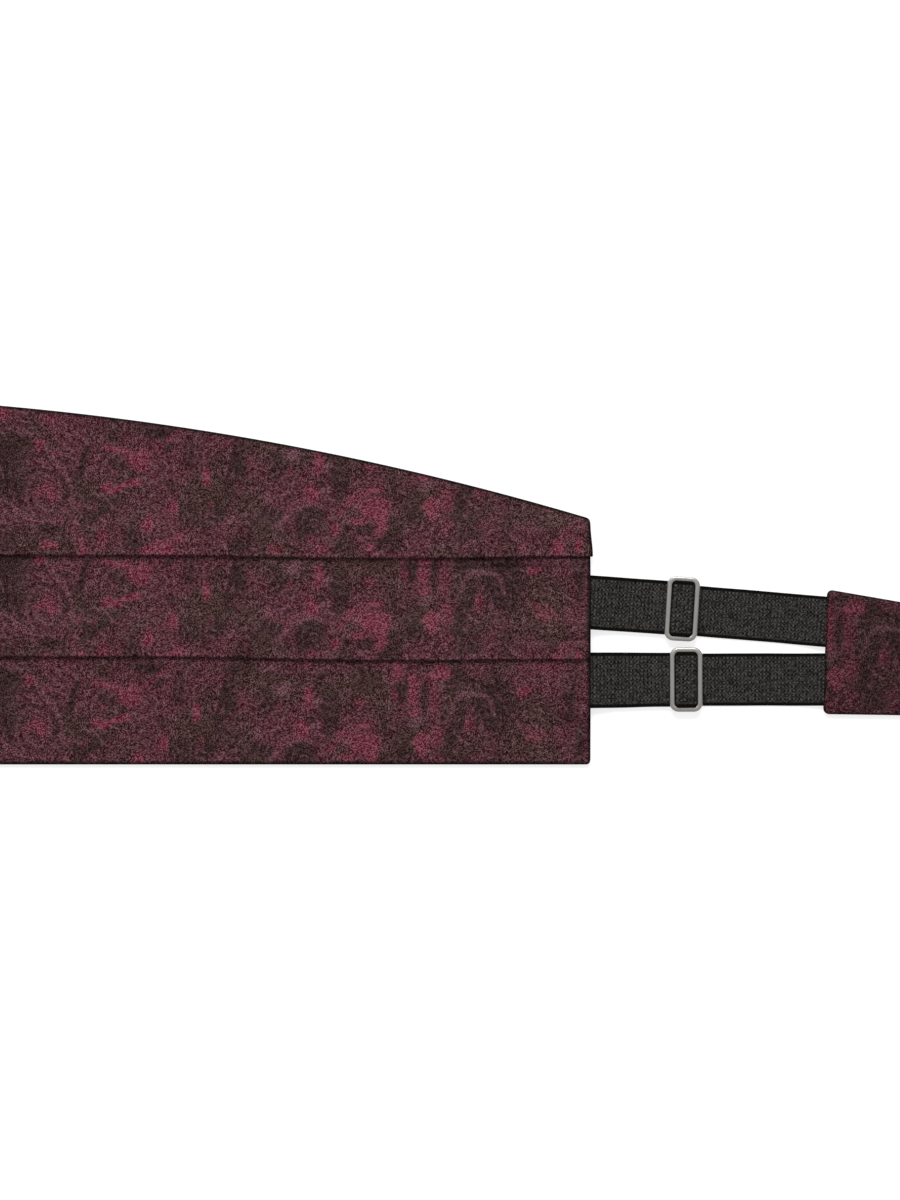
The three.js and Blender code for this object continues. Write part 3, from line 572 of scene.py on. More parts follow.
def build_panel(cloth, material):
    """The folded front in its three pleats and the back, the front raised a little where both ends are turned
    in.
    """
    thickness = cloth.thickness / MM
    lower_faces = (cloth.bottom_pleat + cloth.middle_pleat) / MM
    xs = columns_along()
    from_end = HALF_LENGTH - np.abs(xs)
    corner = END_CORNER - np.sqrt(END_CORNER**2 - np.maximum(0, END_CORNER - from_end) ** 2)
    height = arch_height(xs, cloth)
    lower = cloth.bottom_pleat / MM + wander(xs, 1)
    upper = lower_faces + wander(xs, 2)
    step = thickness + SLIT
    turn = step / 2
    face = FACE_LEVEL - thickness / 2
    tone = panel_tone(cloth)

    def lifted(level):
        return lambda ys: level(ys) + cloth_lift(np.broadcast_to(xs[:, None], ys.shape), ys)

    def over_fold(fold):
        """The level of a face that lies on the layers of the fold below it."""
        start = fold[:, None] + UNDERLAP + turn
        return lifted(lambda ys: face + 2 * step * (1 - smooth((ys - start) / FALL)))

    def fold_points(fold):
        """The hidden return of a pleat's cloth with its folded edge, and where that edge starts."""
        edge = fold + thickness / 2 + turn
        under = straight_run(fold + UNDERLAP, edge, 4, lifted(flat(face + step)), skip_first=False)
        low = under[:, -1, 1]
        bend = half_turn(edge, low, low + step, -turn, 9)
        return np.concatenate([under, bend], axis=1), edge

    def edge_points(edge, level, toward):
        """The cloth turned on to the back and round an outer edge, and where that edge starts."""
        centre = edge - toward * (EDGE_ROUNDING + thickness / 2)
        top = level(centre[:, None])[:, 0]
        low = np.full_like(top, thickness / 2)
        under = straight_run(edge - toward * BACK_TURN, centre, 4, flat(thickness / 2), skip_first=False)
        bend = half_turn(centre, low, top, toward * EDGE_ROUNDING, 11)
        return np.concatenate([under, bend], axis=1), centre

    def pleat(word, turned, start, run, last=(), overhang=0.0):
        """One pleat: the turn that starts it, its face, and the turn that may end it."""
        chain = np.concatenate([turned, run, *last], axis=1)
        face_from = turned.shape[1]
        face_to = face_from + run.shape[1] - 1
        kept = [*range(face_from), *range(face_from, face_to, 4), *range(face_to, chain.shape[1])]
        origin = start - np.linalg.norm(np.diff(turned, axis=1), axis=2).sum(axis=1)
        return strip_piece(f"panel_{word}_pleat", xs, chain, kept, thickness, origin, CHART_SHIFTS[word],
                           tone, material, overhang)

    level = lifted(flat(face))
    turned, start = edge_points(corner, level, -1)
    bottom = pleat("bottom", turned, start, straight_run(start, lower + UNDERLAP, 62, level))

    turned, start = fold_points(lower)
    run = straight_run(start, upper + UNDERLAP, 60, over_fold(lower))
    run[..., 1] -= CREASE_DEPTH * crease_share(np.broadcast_to(xs[:, None], run.shape[:2]), run[..., 0])
    middle = pleat("middle", turned, start, run)

    turned, start = fold_points(upper)
    level = over_fold(upper)
    edge, end = edge_points(height - corner, level, 1)
    run = straight_run(start, end, 76, level)
    top = pleat("top", turned, start, run, [edge[:, ::-1][:, 1:]], TOP_OVERHANG)

    coarse = xs[np.r_[0:2, 2 : len(xs) - 2 : 5, len(xs) - 2 : len(xs)]]
    inset = BACK_TURN + BACK_GAP
    low = np.full_like(coarse, inset)
    high = arch_height(coarse, cloth) - inset
    chain = straight_run(low, high, 26, flat(BACK_THICKNESS / 2), skip_first=False)
    back = strip_piece("panel_back", coarse, chain, list(range(chain.shape[1])), BACK_THICKNESS, coarse * 0,
                       (0, 0), tone, material)

    length = 2 * HALF_LENGTH
    arch_area = np.trapz(height, xs)
    hidden = UNDERLAP + BACK_TURN + EDGE_ALLOWANCE
    for piece, tall, area in (
        (bottom, cloth.bottom_pleat / MM + hidden, None),
        (middle, cloth.middle_pleat / MM + 2 * UNDERLAP + math.pi * turn, None),
        (top, height.max() - lower_faces + hidden, arch_area + length * (hidden - lower_faces)),
        (back, height.max() - 2 * BACK_TURN, arch_area - 2 * length * BACK_TURN),
    ):
        dress(piece, "pleated_panel")
        area = None if area is None else area * MM * MM


EYE_GAMMA = 2.2
DARKEST = 0.02  # the darkest thread


def node(tree, kind, settings=None, inputs=None, output=None):
    """Adds one node with its settings, fills or links its inputs, and gives it or one output."""
    made = tree.nodes.new(kind)
    for name, value in (settings or {}).items():
        setattr(made, name, value)
    for socket, value in (inputs or {}).items():
        if isinstance(value, bpy.types.NodeSocket):
            tree.links.new(value, made.inputs[socket])
        else:
            made.inputs[socket].default_value = value
    return made if output is None else made.outputs[output]


def new_material(name, shader_values):
    """A material with one Principled shader, and its tree."""
    material = bpy.data.materials.new(name)
    material.use_nodes = True
    tree = material.node_tree
    tree.nodes.clear()
    shader = node(tree, "ShaderNodeBsdfPrincipled", inputs=shader_values)
    node(tree, "ShaderNodeOutputMaterial", inputs={"Surface": shader.outputs["BSDF"]})
    return material, tree, shader


def thread_cells(tree, where, across, down, seed):
    """Random value from 0 to 1 for each cell of across by down millimetres."""
    scaled = node(tree, "ShaderNodeVectorMath", {"operation": "MULTIPLY"},
                  {0: where, 1: (1 / across, 1 / down, 1.0)}, 0)
    cell = node(tree, "ShaderNodeVectorMath", {"operation": "FLOOR"}, {0: scaled}, 0)
    moved = node(tree, "ShaderNodeVectorMath", {"operation": "ADD"}, {0: cell, 1: (seed, seed * 1.7, 0.5)}, 0)
    return node(tree, "ShaderNodeTexWhiteNoise", {"noise_dimensions": "2D"}, {"Vector": moved}, "Value")


def as_seen(colour):
    """A linear colour as the eye spaces it, so that threads can be mixed by eye."""
    return (*(c ** (1 / EYE_GAMMA) for c in colour), 1.0)


def speckled(tree, colour, speckle):
    """Adds light and dark threads to a colour as the eye spaces it, and turns it linear."""
    total = node(tree, "ShaderNodeVectorMath", {"operation": "ADD"}, {0: colour, 1: speckle}, 0)
    limited = node(tree, "ShaderNodeVectorMath", {"operation": "MAXIMUM"}, {0: total, 1: (DARKEST,) * 3}, 0)
    return node(tree, "ShaderNodeGamma", inputs={"Color": limited, "Gamma": EYE_GAMMA}, output=0)


def finish_shader(tree, shader, colour, relief, strength, depth):
    """Gives a shader its colour and its fine relief, whose depth is in metres."""
    settings = {"Strength": strength, "Distance": depth, "Height": relief}
    tree.links.new(node(tree, "ShaderNodeBump", inputs=settings, output=0), shader.inputs["Normal"])
    tree.links.new(colour, shader.inputs["Base Color"])


# Settings that many nodes share
TIMES = {"operation": "MULTIPLY"}
TIMES_PLUS = {"operation": "MULTIPLY_ADD"}
SINE = {"operation": "SINE"}
COLOURS = {"data_type": "RGBA"}
EASED = {"interpolation_type": "SMOOTHSTEP"}
FLAT_NOISE = {"noise_dimensions": "2D"}


def jacquard_material(cloth):
    """Woven jacquard in viscose and polyester: burgundy scrollwork on dark brown, with a
    soft sheen and fine light flecks where single threads float over the ground, partly painted glints."""
    finish = {"Roughness": 0.68, "IOR": 1.5, "Specular IOR Level": 0.06}
    sheen = {"Sheen Weight": 0.012, "Sheen Roughness": 0.4}
    material, tree, shader = new_material("woven_jacquard", finish | sheen)
    where = node(tree, "ShaderNodeUVMap", {"uv_map": "cloth"}, output="UV")
    figure = node(tree, "ShaderNodeVertexColor", {"layer_name": "figure"}).outputs
    bloom, shade, pale = node(tree, "ShaderNodeSeparateColor", inputs={"Color": figure["Color"]}).outputs
    # A fine cell is about one thread, 0.38 mm, and a float runs over two.
    fine = thread_cells(tree, where, 0.39, 0.36, 3.0)
    float_across = thread_cells(tree, where, 0.8, 0.4, 17.0)
    # Tufts are about 2.4 mm across, the mottling 6 mm and the browner patches 18 mm.
    tuft, mottle, patch = (
        node(tree, "ShaderNodeTexNoise", FLAT_NOISE, {"Vector": where, "Scale": scale, "Detail": 1.0}, "Fac")
        for scale in (0.42, 0.17, 0.055)
    )
    ragged = -0.85
    for threads, amount in ((tuft, 1.2), (fine, 0.5)):
        ragged = node(tree, "ShaderNodeMath", TIMES_PLUS, {0: threads, 1: amount, 2: ragged}, 0)
    share = node(tree, "ShaderNodeMath", TIMES_PLUS, {0: ragged, 1: 0.25, 2: 1.0}, 0)

    def thinned(layer, full):
        """A charted layer that thins out towards its edge, thread by thread."""
        broken = node(tree, "ShaderNodeMath", TIMES, {0: layer, 1: share}, 0)
        return node(tree, "ShaderNodeMapRange", EASED, {"Value": broken, "From Max": full}, "Result")

    # The scrolls' fine lines stand 3.4 mm apart and fade in and out along their way.
    echo = node(tree, "ShaderNodeAttribute", {"attribute_name": "echo"}, output="Fac")
    phase = node(tree, "ShaderNodeMath", TIMES_PLUS, {0: echo, 1: math.tau / 9.0, 2: ragged}, 0)
    wave = node(tree, "ShaderNodeMath", SINE, {0: phase}, 0)
    fading = node(tree, "ShaderNodeMapRange", EASED,
                  {"Value": mottle, "From Min": 0.4, "From Max": 0.6}, "Result")

    def drawn(start, end, strength):
        """The lines where the wave goes from start to end."""
        part = {"Value": wave, "From Min": start, "From Max": end, "To Max": strength}
        line = node(tree, "ShaderNodeMapRange", EASED, part, "Result")
        return node(tree, "ShaderNodeMath", TIMES, {0: line, 1: fading}, 0)

    browner = node(tree, "ShaderNodeMapRange", EASED,
                   {"Value": patch, "From Min": 0.5, "From Max": 0.72, "To Max": 0.6}, "Result")
    warmer = node(tree, "ShaderNodeMapRange", EASED,
                  {"Value": patch, "From Min": 0.62, "From Max": 0.38}, "Result")
    colour = as_seen(cloth.ground)
    for amount, tint in (
        (warmer, cloth.ground_warm),
        (drawn(-0.2, -0.95, cloth.line_strength * 0.8), cloth.shade),
        (thinned(shade, 0.82), cloth.shade),
        (browner, cloth.umber),
        (drawn(0.3, 0.95, cloth.line_strength), cloth.pale),
        (thinned(pale, 0.85), cloth.pale),
        (thinned(bloom, 0.94), cloth.bloom),
    ):
        colour = node(tree, "ShaderNodeMix", COLOURS, {0: amount, 6: colour, 7: as_seen(tint)}, 2)
    # The speckle is light and dark threads, and in part painted glints off floating threads and painted shade
    # between them.
    speckle = -0.165
    for threads, amount in ((fine, 0.3), (float_across, 0.03)):
        speckle = node(tree, "ShaderNodeMath", TIMES_PLUS, {0: threads, 1: amount, 2: speckle}, 0)
    # The shaded parts are a closer weave, with fewer loose threads.
    closer = node(tree, "ShaderNodeMath", TIMES_PLUS, {0: shade, 1: -0.35, 2: 1.0}, 0)
    speckle = node(tree, "ShaderNodeMath", TIMES, {0: speckle, 1: closer}, 0)
    # The figure's alpha is painted light: painted shade along edges, creases and seams and a painted
    # highlight along the folds, scaling the colour.
    toned = node(tree, "ShaderNodeVectorMath", {"operation": "SCALE"},
                 {0: speckled(tree, colour, speckle), "Scale": figure["Alpha"]}, 0)
    relief = node(tree, "ShaderNodeMath", TIMES_PLUS, {0: float_across, 1: 0.5, 2: fine}, 0)
    finish_shader(tree, shader, toned, relief, 0.12, 0.0001)
    return material


def elastic_material(straps):
    """Woven elastic webbing: charcoal polyester over rubber cords, matt, with fine ribs
    along its length, small dots where the weft crosses them, and darker selvedges."""
    material, tree, shader = new_material(
        "woven_elastic", {"Roughness": 0.8, "IOR": 1.5, "Specular IOR Level": 0.06, "Sheen Weight": 0.01}
    )
    where = node(tree, "ShaderNodeUVMap", {"uv_map": "cloth"}, output="UV")
    along, across = node(tree, "ShaderNodeSeparateXYZ", inputs={"Vector": where}).outputs[:2]
    # Ribs stand 0.8 mm apart and weft picks 0.7 mm apart; both are drawn twice as coarse,
    # so that they still show, and so is the speckle of their threads.
    waves = []
    for way, spacing in ((across, 1.6), (along, 1.4)):
        phase = node(tree, "ShaderNodeMath", TIMES, {0: way, 1: math.tau / spacing}, 0)
        waves.append(node(tree, "ShaderNodeMath", SINE, {0: phase}, 0))
    rib, pick = waves
    dots = node(tree, "ShaderNodeMath", TIMES, {0: rib, 1: pick}, 0)
    grain = thread_cells(tree, where, 0.52, 0.46, 5.0)
    wear = node(tree, "ShaderNodeTexNoise", FLAT_NOISE, {"Vector": where, "Scale": 0.2, "Detail": 1.0}, "Fac")
    from_middle = node(tree, "ShaderNodeMath", {"operation": "ABSOLUTE"}, {0: across}, 0)
    selvedge = node(tree, "ShaderNodeMapRange", EASED,
                    {"Value": from_middle, "From Min": 8.7, "From Max": 9.2}, "Result")
    speckle = -0.075
    for threads, amount in ((grain, 0.165), (dots, 0.06), (pick, 0.03)):
        speckle = node(tree, "ShaderNodeMath", TIMES_PLUS, {0: threads, 1: amount, 2: speckle}, 0)
    bare = node(tree, "ShaderNodeMath", TIMES_PLUS, {0: selvedge, 1: -0.9, 2: 1.0}, 0)
    speckle = node(tree, "ShaderNodeMath", TIMES, {0: speckle, 1: bare}, 0)
    colour = as_seen(straps.dark)
    for amount, tint in ((wear, straps.light), (selvedge, straps.selvedge)):
        colour = node(tree, "ShaderNodeMix", COLOURS, {0: amount, 6: colour, 7: as_seen(tint)}, 2)
    relief = node(tree, "ShaderNodeMath", TIMES_PLUS, {0: dots, 1: 0.5, 2: rib}, 0)
    finish_shader(tree, shader, speckled(tree, colour, speckle), relief, 0.3, 0.00012)
    return material


def metal_material(name, colour, roughness):
    """Satin metal: a fine tumbled grain that blurs what it reflects, and a faint dullness
    that wanders over it."""
    material, tree, shader = new_material(name, {"Metallic": 1.0, "Roughness": roughness})
    where = node(tree, "ShaderNodeTexCoord", output="Object")
    # Grit of the tumbling is about 0.4 mm, and the dull patches are about 3 mm.
    grain, haze = (
        node(tree, "ShaderNodeTexNoise", None, {"Vector": where, "Scale": scale, "Detail": detail}, "Fac")
        for scale, detail in ((2600.0, 2.0), (320.0, 1.0))
    )
    worn = 0.0
    for patches in (haze, grain):
        worn = node(tree, "ShaderNodeMath", TIMES_PLUS, {0: patches, 1: 0.5, 2: worn}, 0)
    dull = tuple(c * 0.74 for c in colour)
    finish = node(tree, "ShaderNodeMix", COLOURS, {0: worn, 6: (*dull, 1.0), 7: (*colour, 1.0)}, 2)
    finish_shader(tree, shader, finish, grain, 0.12, 0.00005)
    return material


def floor_material(stage):
    """Opal acrylic of a lit table: evenly white, so that only faint shadows show on it."""
    return new_material(
        "lit_opal_acrylic",
        {
            "Base Color": (*stage.floor_colour, 1.0),
            "Roughness": 0.6,
            "Specular IOR Level": 0.1,
            "Emission Color": (1.0, 1.0, 1.0, 1.0),
            "Emission Strength": stage.floor_glow,
        },
    )[0]


def cloth_material(cloth):
    """The jacquard, made on first use."""
    return bpy.data.materials.get("woven_jacquard") or jacquard_material(cloth)


def rounded_route(corners):
    """A centre line through corners (x, z, bend radius), its corners rounded."""
    points = [np.array(corners[0][:2])]
    for before, here, after in zip(corners, corners[1:], corners[2:]):
        spot = np.array(here[:2])
        back = np.array(before[:2]) - spot
        ahead = np.array(after[:2]) - spot
        back /= np.linalg.norm(back)
        ahead /= np.linalg.norm(ahead)
        half = math.acos(max(-1, min(1, float(back @ ahead)))) / 2
        bend = here[2]
        towards = back + ahead
        centre = spot + towards / np.linalg.norm(towards) * bend / math.sin(half)
        start = spot + back * bend / math.tan(half) - centre
        sweep = math.pi - 2 * half
        side = math.copysign(1, -back[0] * ahead[1] + back[1] * ahead[0])
        count = max(2, math.ceil(sweep / 0.25))
        for k in range(count + 1):
            a = side * sweep * k / count
            points.append(centre + (start[0] * math.cos(a) - start[1] * math.sin(a),
                                    start[0] * math.sin(a) + start[1] * math.cos(a)))
    points.append(np.array(corners[-1][:2]))
    return np.array(points)


def even_steps(points, longest):
    """Adds points to a line so that no step is longer than longest."""
    result = [points[0]]
    for start, end in zip(points, points[1:]):
        count = max(1, math.ceil(float(np.linalg.norm(end - start)) / longest))
        for k in range(1, count + 1):
            result.append(start + (end - start) * k / count)
    return np.array(result)


def strap_route(run, s, thickness):
    """The strap's centre line in its own frame, X from the panel towards the tab."""
    mid = thickness / 2
    wrap = (BAR_THICKNESS + BAR_ROOM + thickness) / 2  # bend round the slider's middle bar
    slot_x = MIDDLE_BAR / 2 + wrap + 1.5 * thickness + BAR_ROOM / 2 - mid
    over_bar = STRAP_STEP + BAR_THICKNESS + BAR_ROOM + thickness + mid
    wrap_x = s + MIDDLE_BAR / 2 + wrap
    level = STRAP_IN_CLOTH_LEVEL
    fold = STRAP_STEP / 2
    inside = -STRAP_IN_CLOTH - fold
    level_to = STRAP_LEVEL_RUN
    down = STRAP_LEVEL_RUN + STRAP_DESCENT
    return rounded_route((
        (run + STRAP_IN_CLOTH, level, 0),
        (run - level_to, level, SOFT_BEND),
        (run - down, mid, SOFT_BEND),
        (s + slot_x, mid, SHARP_BEND),
        (s + slot_x, over_bar, SHARP_BEND),
        (s - slot_x, over_bar, SHARP_BEND),
        (s - slot_x, mid + STRAP_STEP, SHARP_BEND),
        (down, mid + STRAP_STEP, SOFT_BEND),
        (level_to, level + STRAP_STEP, SOFT_BEND),
        (inside, level + STRAP_STEP, fold),
        (inside, level, fold),
        (level_to, level, SOFT_BEND),
        (down, mid, SOFT_BEND),
        (wrap_x, mid, wrap),
        (wrap_x, mid + 2 * wrap, wrap),
        (s - MIDDLE_BAR / 2 - BAR_ROOM / 2, mid + 2 * wrap, 0),
    ))


def bowed(x, run, s, bow):
    """Sideways bow of a strap along its run, most at its slider."""
    left = np.sin(np.clip(x / s, 0, 1) * math.pi / 2)
    right = np.sin(np.clip((run - x) / (run - s), 0, 1) * math.pi / 2)
    return bow * np.where(x < s, left, right)


def strap_slant(row):
    """The angle at which a strap runs from the panel to the tab."""
    return math.atan2(row[2] - row[1], STRAP_RUN_ACROSS)


def beside_strap(row, x, y):
    """Where on the table a place lies that is x along a right-hand strap and y across it."""
    angle = strap_slant(row)
    return (HALF_LENGTH + x * math.cos(angle) - y * math.sin(angle),
            row[1] + x * math.sin(angle) + y * math.cos(angle) - HEIGHT / 2)


def build_strap(side, word, row, straps, material):
    """One elastic strap with rounded selvedges, along its whole folded route."""
    title, at_panel, at_tab, s, bow, slack_width, narrowing, shift = row
    thickness = straps.thickness / MM
    half = straps.width / MM / 2
    run = math.hypot(at_tab - at_panel, STRAP_RUN_ACROSS)
    line = even_steps(strap_route(run, s, thickness), STRAP_GRID)
    along = np.gradient(line, axis=0)
    along /= np.linalg.norm(along, axis=1, keepdims=True)
    level = half - 0.25  # half the part that is level, between the rounded selvedges
    outline = np.array([
        *((-level + 2 * level * i / 20, 0.5) for i in range(21)),
        (half - 0.06, 0.26), (half, 0.0), (half - 0.06, -0.26),
        *((-level + 2 * level * i / 6, -0.5) for i in range(6, -1, -1)),
        (-half + 0.06, -0.26), (-half, 0.0), (-half + 0.06, 0.26),
    ])
    size = len(outline)
    place = line[:, :1]
    beyond = smooth((place - s - SLIDER_HIDES[0]) / (SLIDER_HIDES[1] - SLIDER_HIDES[0]))
    loose = 1 - smooth(place / s)
    at_bar = 1 - smooth((np.abs(place - s) - BAR_SPREAD_REACH) / BAR_SPREAD_FADE)
    width = (1 + (slack_width * loose - narrowing * beyond) / (2 * half)) * (1 + BAR_SPREAD * at_bar)
    across = outline[:, 0] * width
    slack = 0.12 * (lattice_noise(place + at_panel, across, 11.0, 41) - 0.5) * smooth(place / 9)
    y = across + bowed(place, run, s, bow) - shift * beyond + slack
    x = line[:, :1] - along[:, 1:] * outline[:, 1] * thickness
    z = line[:, 1:] + along[:, :1] * outline[:, 1] * thickness
    px, py = beside_strap(row, x, y)
    points = np.stack([side * px, py, z], axis=-1).reshape(-1, 3)
    lengths = np.concatenate([[0], np.cumsum(np.linalg.norm(np.diff(line, axis=0), axis=1))])
    uv = np.stack(np.broadcast_arrays(lengths[:, None], outline[None, :, 0]), axis=-1).reshape(-1, 2)
    last = (len(line) - 1) * size
    faces = tube_faces(len(line), size) + [range(size - 1, -1, -1), range(last, last + size)]
    piece = mesh_piece(f"{word}_{title}_strap_shown", points, faces, uv, material)
    dress(piece, f"{word}_{title}_strap")


def tab_edges(u):
    """Both long edges of the tab at a distance from its strap end."""
    return (start + (end - start) * u / TAB_LENGTH for start, end in zip(TAB_AT_STRAPS, TAB_AT_END))


def crowded(length, step, rounding):
    """Places from 0 to length, crowded where the cloth turns down at both ends."""
    turn = rounding * (1 - np.cos(np.linspace(0, math.pi / 2, 7)))
    count = max(2, int((length - 2 * rounding) / step))
    middle = np.linspace(rounding, length - rounding, count)[1:-1]
    return np.concatenate([turn, middle, (length - turn)[::-1]])


def build_tab(word, side, material):
    """A tab of two cloths sewn together, turned and pressed, with a seam round its edge."""
    us = crowded(TAB_LENGTH, 0.9, TAB_CORNER)[:, None]
    low, high = tab_edges(us)
    to_end = np.minimum(us, TAB_LENGTH - us)
    rounding = TAB_CORNER - np.sqrt(TAB_CORNER**2 - np.maximum(0, TAB_CORNER - to_end) ** 2)
    ys = low + rounding + (high - low - 2 * rounding) * crowded(1.0, 0.021, 0.034)
    side_gap = np.minimum(ys - low, high - ys)
    corner = (side_gap < TAB_CORNER) & (to_end < TAB_CORNER)
    rounded = TAB_CORNER - np.hypot(TAB_CORNER - side_gap, TAB_CORNER - to_end)
    gap = np.clip(np.where(corner, rounded, np.minimum(side_gap, to_end)), 0, None)
    edge = np.sqrt(1 - np.clip(1 - gap / TAB_ROUNDING, 0, 1) ** 2)
    crown = 1 - TAB_CROWN * (1 - smooth(gap / TAB_CROWN_REACH))
    half = TAB_THICKNESS / 2
    lift = TAB_SEAM + (half - TAB_SEAM) * edge * crown
    puff = 0.16 * (lattice_noise(us, ys, 19.0, 51 + side) - 0.5) * smooth(gap / 5)
    across = (ys - (low + high) / 2) / (high - low)
    x = us + TAB_LEAN * across * np.maximum(0, 1 - us / TAB_LEAN_LENGTH)
    top = np.stack([x, ys, half + lift + np.minimum(0, puff - 0.06)], axis=-1).reshape(-1, 3)
    bottom = np.stack([x, ys, half - lift], axis=-1).reshape(-1, 3)
    # The seam lies in a groove, a little inwards of the rim where both cloths meet.
    rows, columns = ys.shape
    grid = np.arange(rows * columns).reshape(rows, columns)
    rim = np.concatenate([grid[0], grid[1:, -1], grid[-1, -2::-1], grid[-2:0:-1, 0]])
    spots = top[rim, :2]
    row = rim // columns
    inner = np.column_stack([
        np.clip(spots[:, 0], GROOVE_TURN, TAB_LENGTH - GROOVE_TURN),
        np.clip(spots[:, 1], low[row, 0] + GROOVE_TURN, high[row, 0] - GROOVE_TURN),
    ])
    inward = (inner - spots) / np.linalg.norm(inner - spots, axis=1, keepdims=True)
    groove = np.column_stack([spots + GROOVE_DEPTH * inward, np.full(len(rim), half)])
    points = np.concatenate([top, bottom, groove])
    count = rows * columns
    quads = np.stack([grid[:-1, :-1], grid[1:, :-1], grid[1:, 1:], grid[:-1, 1:]], axis=-1).reshape(-1, 4)
    after = np.roll(rim, -1)
    seam = 2 * count + np.arange(len(rim))
    seam_after = np.roll(seam, -1)
    closing = [rim, after, seam_after, seam, seam, seam_after, after + count, rim + count]
    faces = [*np.stack([quads, quads[:, ::-1] + count], axis=1).reshape(-1, 4).tolist(),
             *np.stack(closing, axis=-1).reshape(-1, 4).tolist()]
    chart_x = points[:, 0] / THREAD + TAB_CHART[0]
    chart_y = (TAB_AT_STRAPS[1] - points[:, 1]) / THREAD + TAB_CHART[1]
    points = (points + (TAB_X, -HEIGHT / 2, 0)) * (side, 1, 1)
    # Painted shade: darker all over, more so at the rim where the cloth turns down, and most in the seam's
    # groove.
    tone = TAB_SHADE * (1 - 0.7 * (1 - smooth((gap - 0.3) / 0.7))).ravel()
    tone = np.concatenate([tone, tone, np.full(len(rim), 0.4)])
    piece = figured_piece(f"{word}_tab_cloth", points, faces, chart_x, chart_y, tone, material)
    dress(piece, f"{word}_tab")


def only(piece):
    """Selects one object and nothing else."""
    bpy.ops.object.select_all(action="DESELECT")
    piece.select_set(True)
    bpy.context.view_layer.objects.active = piece


def mode(word, select=None):
    """Changes between editing a mesh and the whole object, and selects all or nothing of it."""
    if bpy.context.object.mode != word:
        bpy.ops.object.mode_set(mode=word)
    if select:
        bpy.ops.mesh.select_all(action=select)


def drawn_out(x, z):
    """Extrudes what is selected by x and z, in millimetres."""
    bpy.ops.mesh.extrude_region_move(TRANSFORM_OT_translate={"value": (x * MM, 0, z * MM)})


def scaled(piece, size):
    """Gives a fresh piece its size in millimetres and keeps it in its mesh."""
    piece.scale = tuple(length * MM for length in size)
    bpy.ops.object.transform_apply(location=True, rotation=False, scale=True)


def start_plane(name, length, width, height):
    """A flat rectangle to model from, in millimetres, centred over the origin."""
    bpy.ops.object.select_all(action="DESELECT")
    bpy.ops.mesh.primitive_plane_add(size=1.0, location=(0, 0, height * MM))
    piece = bpy.context.active_object
    piece.name = name
    scaled(piece, (length, width, 1 / MM))
    return piece


def bevelled(piece, width, segments):
    """Rounds every hard edge of a piece."""
    only(piece)
    bevel = piece.modifiers.new("rounding", "BEVEL")
    bevel.width = width * MM
    bevel.segments = segments
    bevel.limit_method = "ANGLE"
    bevel.angle_limit = math.radians(40)
    bpy.ops.object.modifier_apply(modifier=bevel.name)
    bpy.ops.object.shade_smooth_by_angle(angle=math.radians(35))


def model_ring(name, length, width, corner, bar, low, thickness, ease):
    """A flat rounded frame: a plane with rounded corners, inset, opened and drawn up."""
    piece = start_plane(name, length, width, low)
    mode("EDIT", "SELECT")
    bpy.ops.mesh.bevel(offset=corner * MM, segments=6, affect="VERTICES")
    mode("EDIT", "SELECT")
    bpy.ops.mesh.inset(thickness=bar * MM, depth=0.0)
    bpy.ops.mesh.delete(type="FACE")
    mode("EDIT", "SELECT")
    drawn_out(0, thickness)
    mode("EDIT", "SELECT")
    bpy.ops.mesh.normals_make_consistent(inside=False)
    mode("OBJECT")
    bevelled(piece, ease, 3)
    return piece


def model_slider():
    """A slide adjuster: the frame, and a lower middle bar with its ends turned up into it."""
    ring = model_ring("slider_pattern", SLIDER_LENGTH, SLIDER_WIDTH, SLIDER_CORNER, FRAME_WIDTH, FRAME_LOW,
                      FRAME_THICKNESS, 0.5)
    bpy.ops.object.select_all(action="DESELECT")
    bpy.ops.mesh.primitive_cube_add(size=1.0, location=(0, 0, (STRAP_STEP + BAR_THICKNESS / 2) * MM))
    bar = bpy.context.active_object
    scaled(bar, (MIDDLE_BAR, SLIDER_WIDTH - 0.9, BAR_THICKNESS))
    bend = SLIDER_WIDTH / 2 - FRAME_WIDTH
    for side in (-1, 1):
        mode("EDIT", "SELECT")
        bpy.ops.mesh.bisect(plane_co=(0, side * bend * MM, 0), plane_no=(0, 1, 0))
    mode("EDIT", "DESELECT")
    mode("OBJECT")
    for face in bar.data.polygons:
        face.select = face.normal.z > 0.9 and abs(face.center.y) > bend * MM
    mode("EDIT")
    drawn_out(0, 1.1)
    mode("OBJECT")
    bevelled(bar, 0.25, 2)
    only(ring)
    bar.select_set(True)
    bpy.ops.object.join()
    return ring


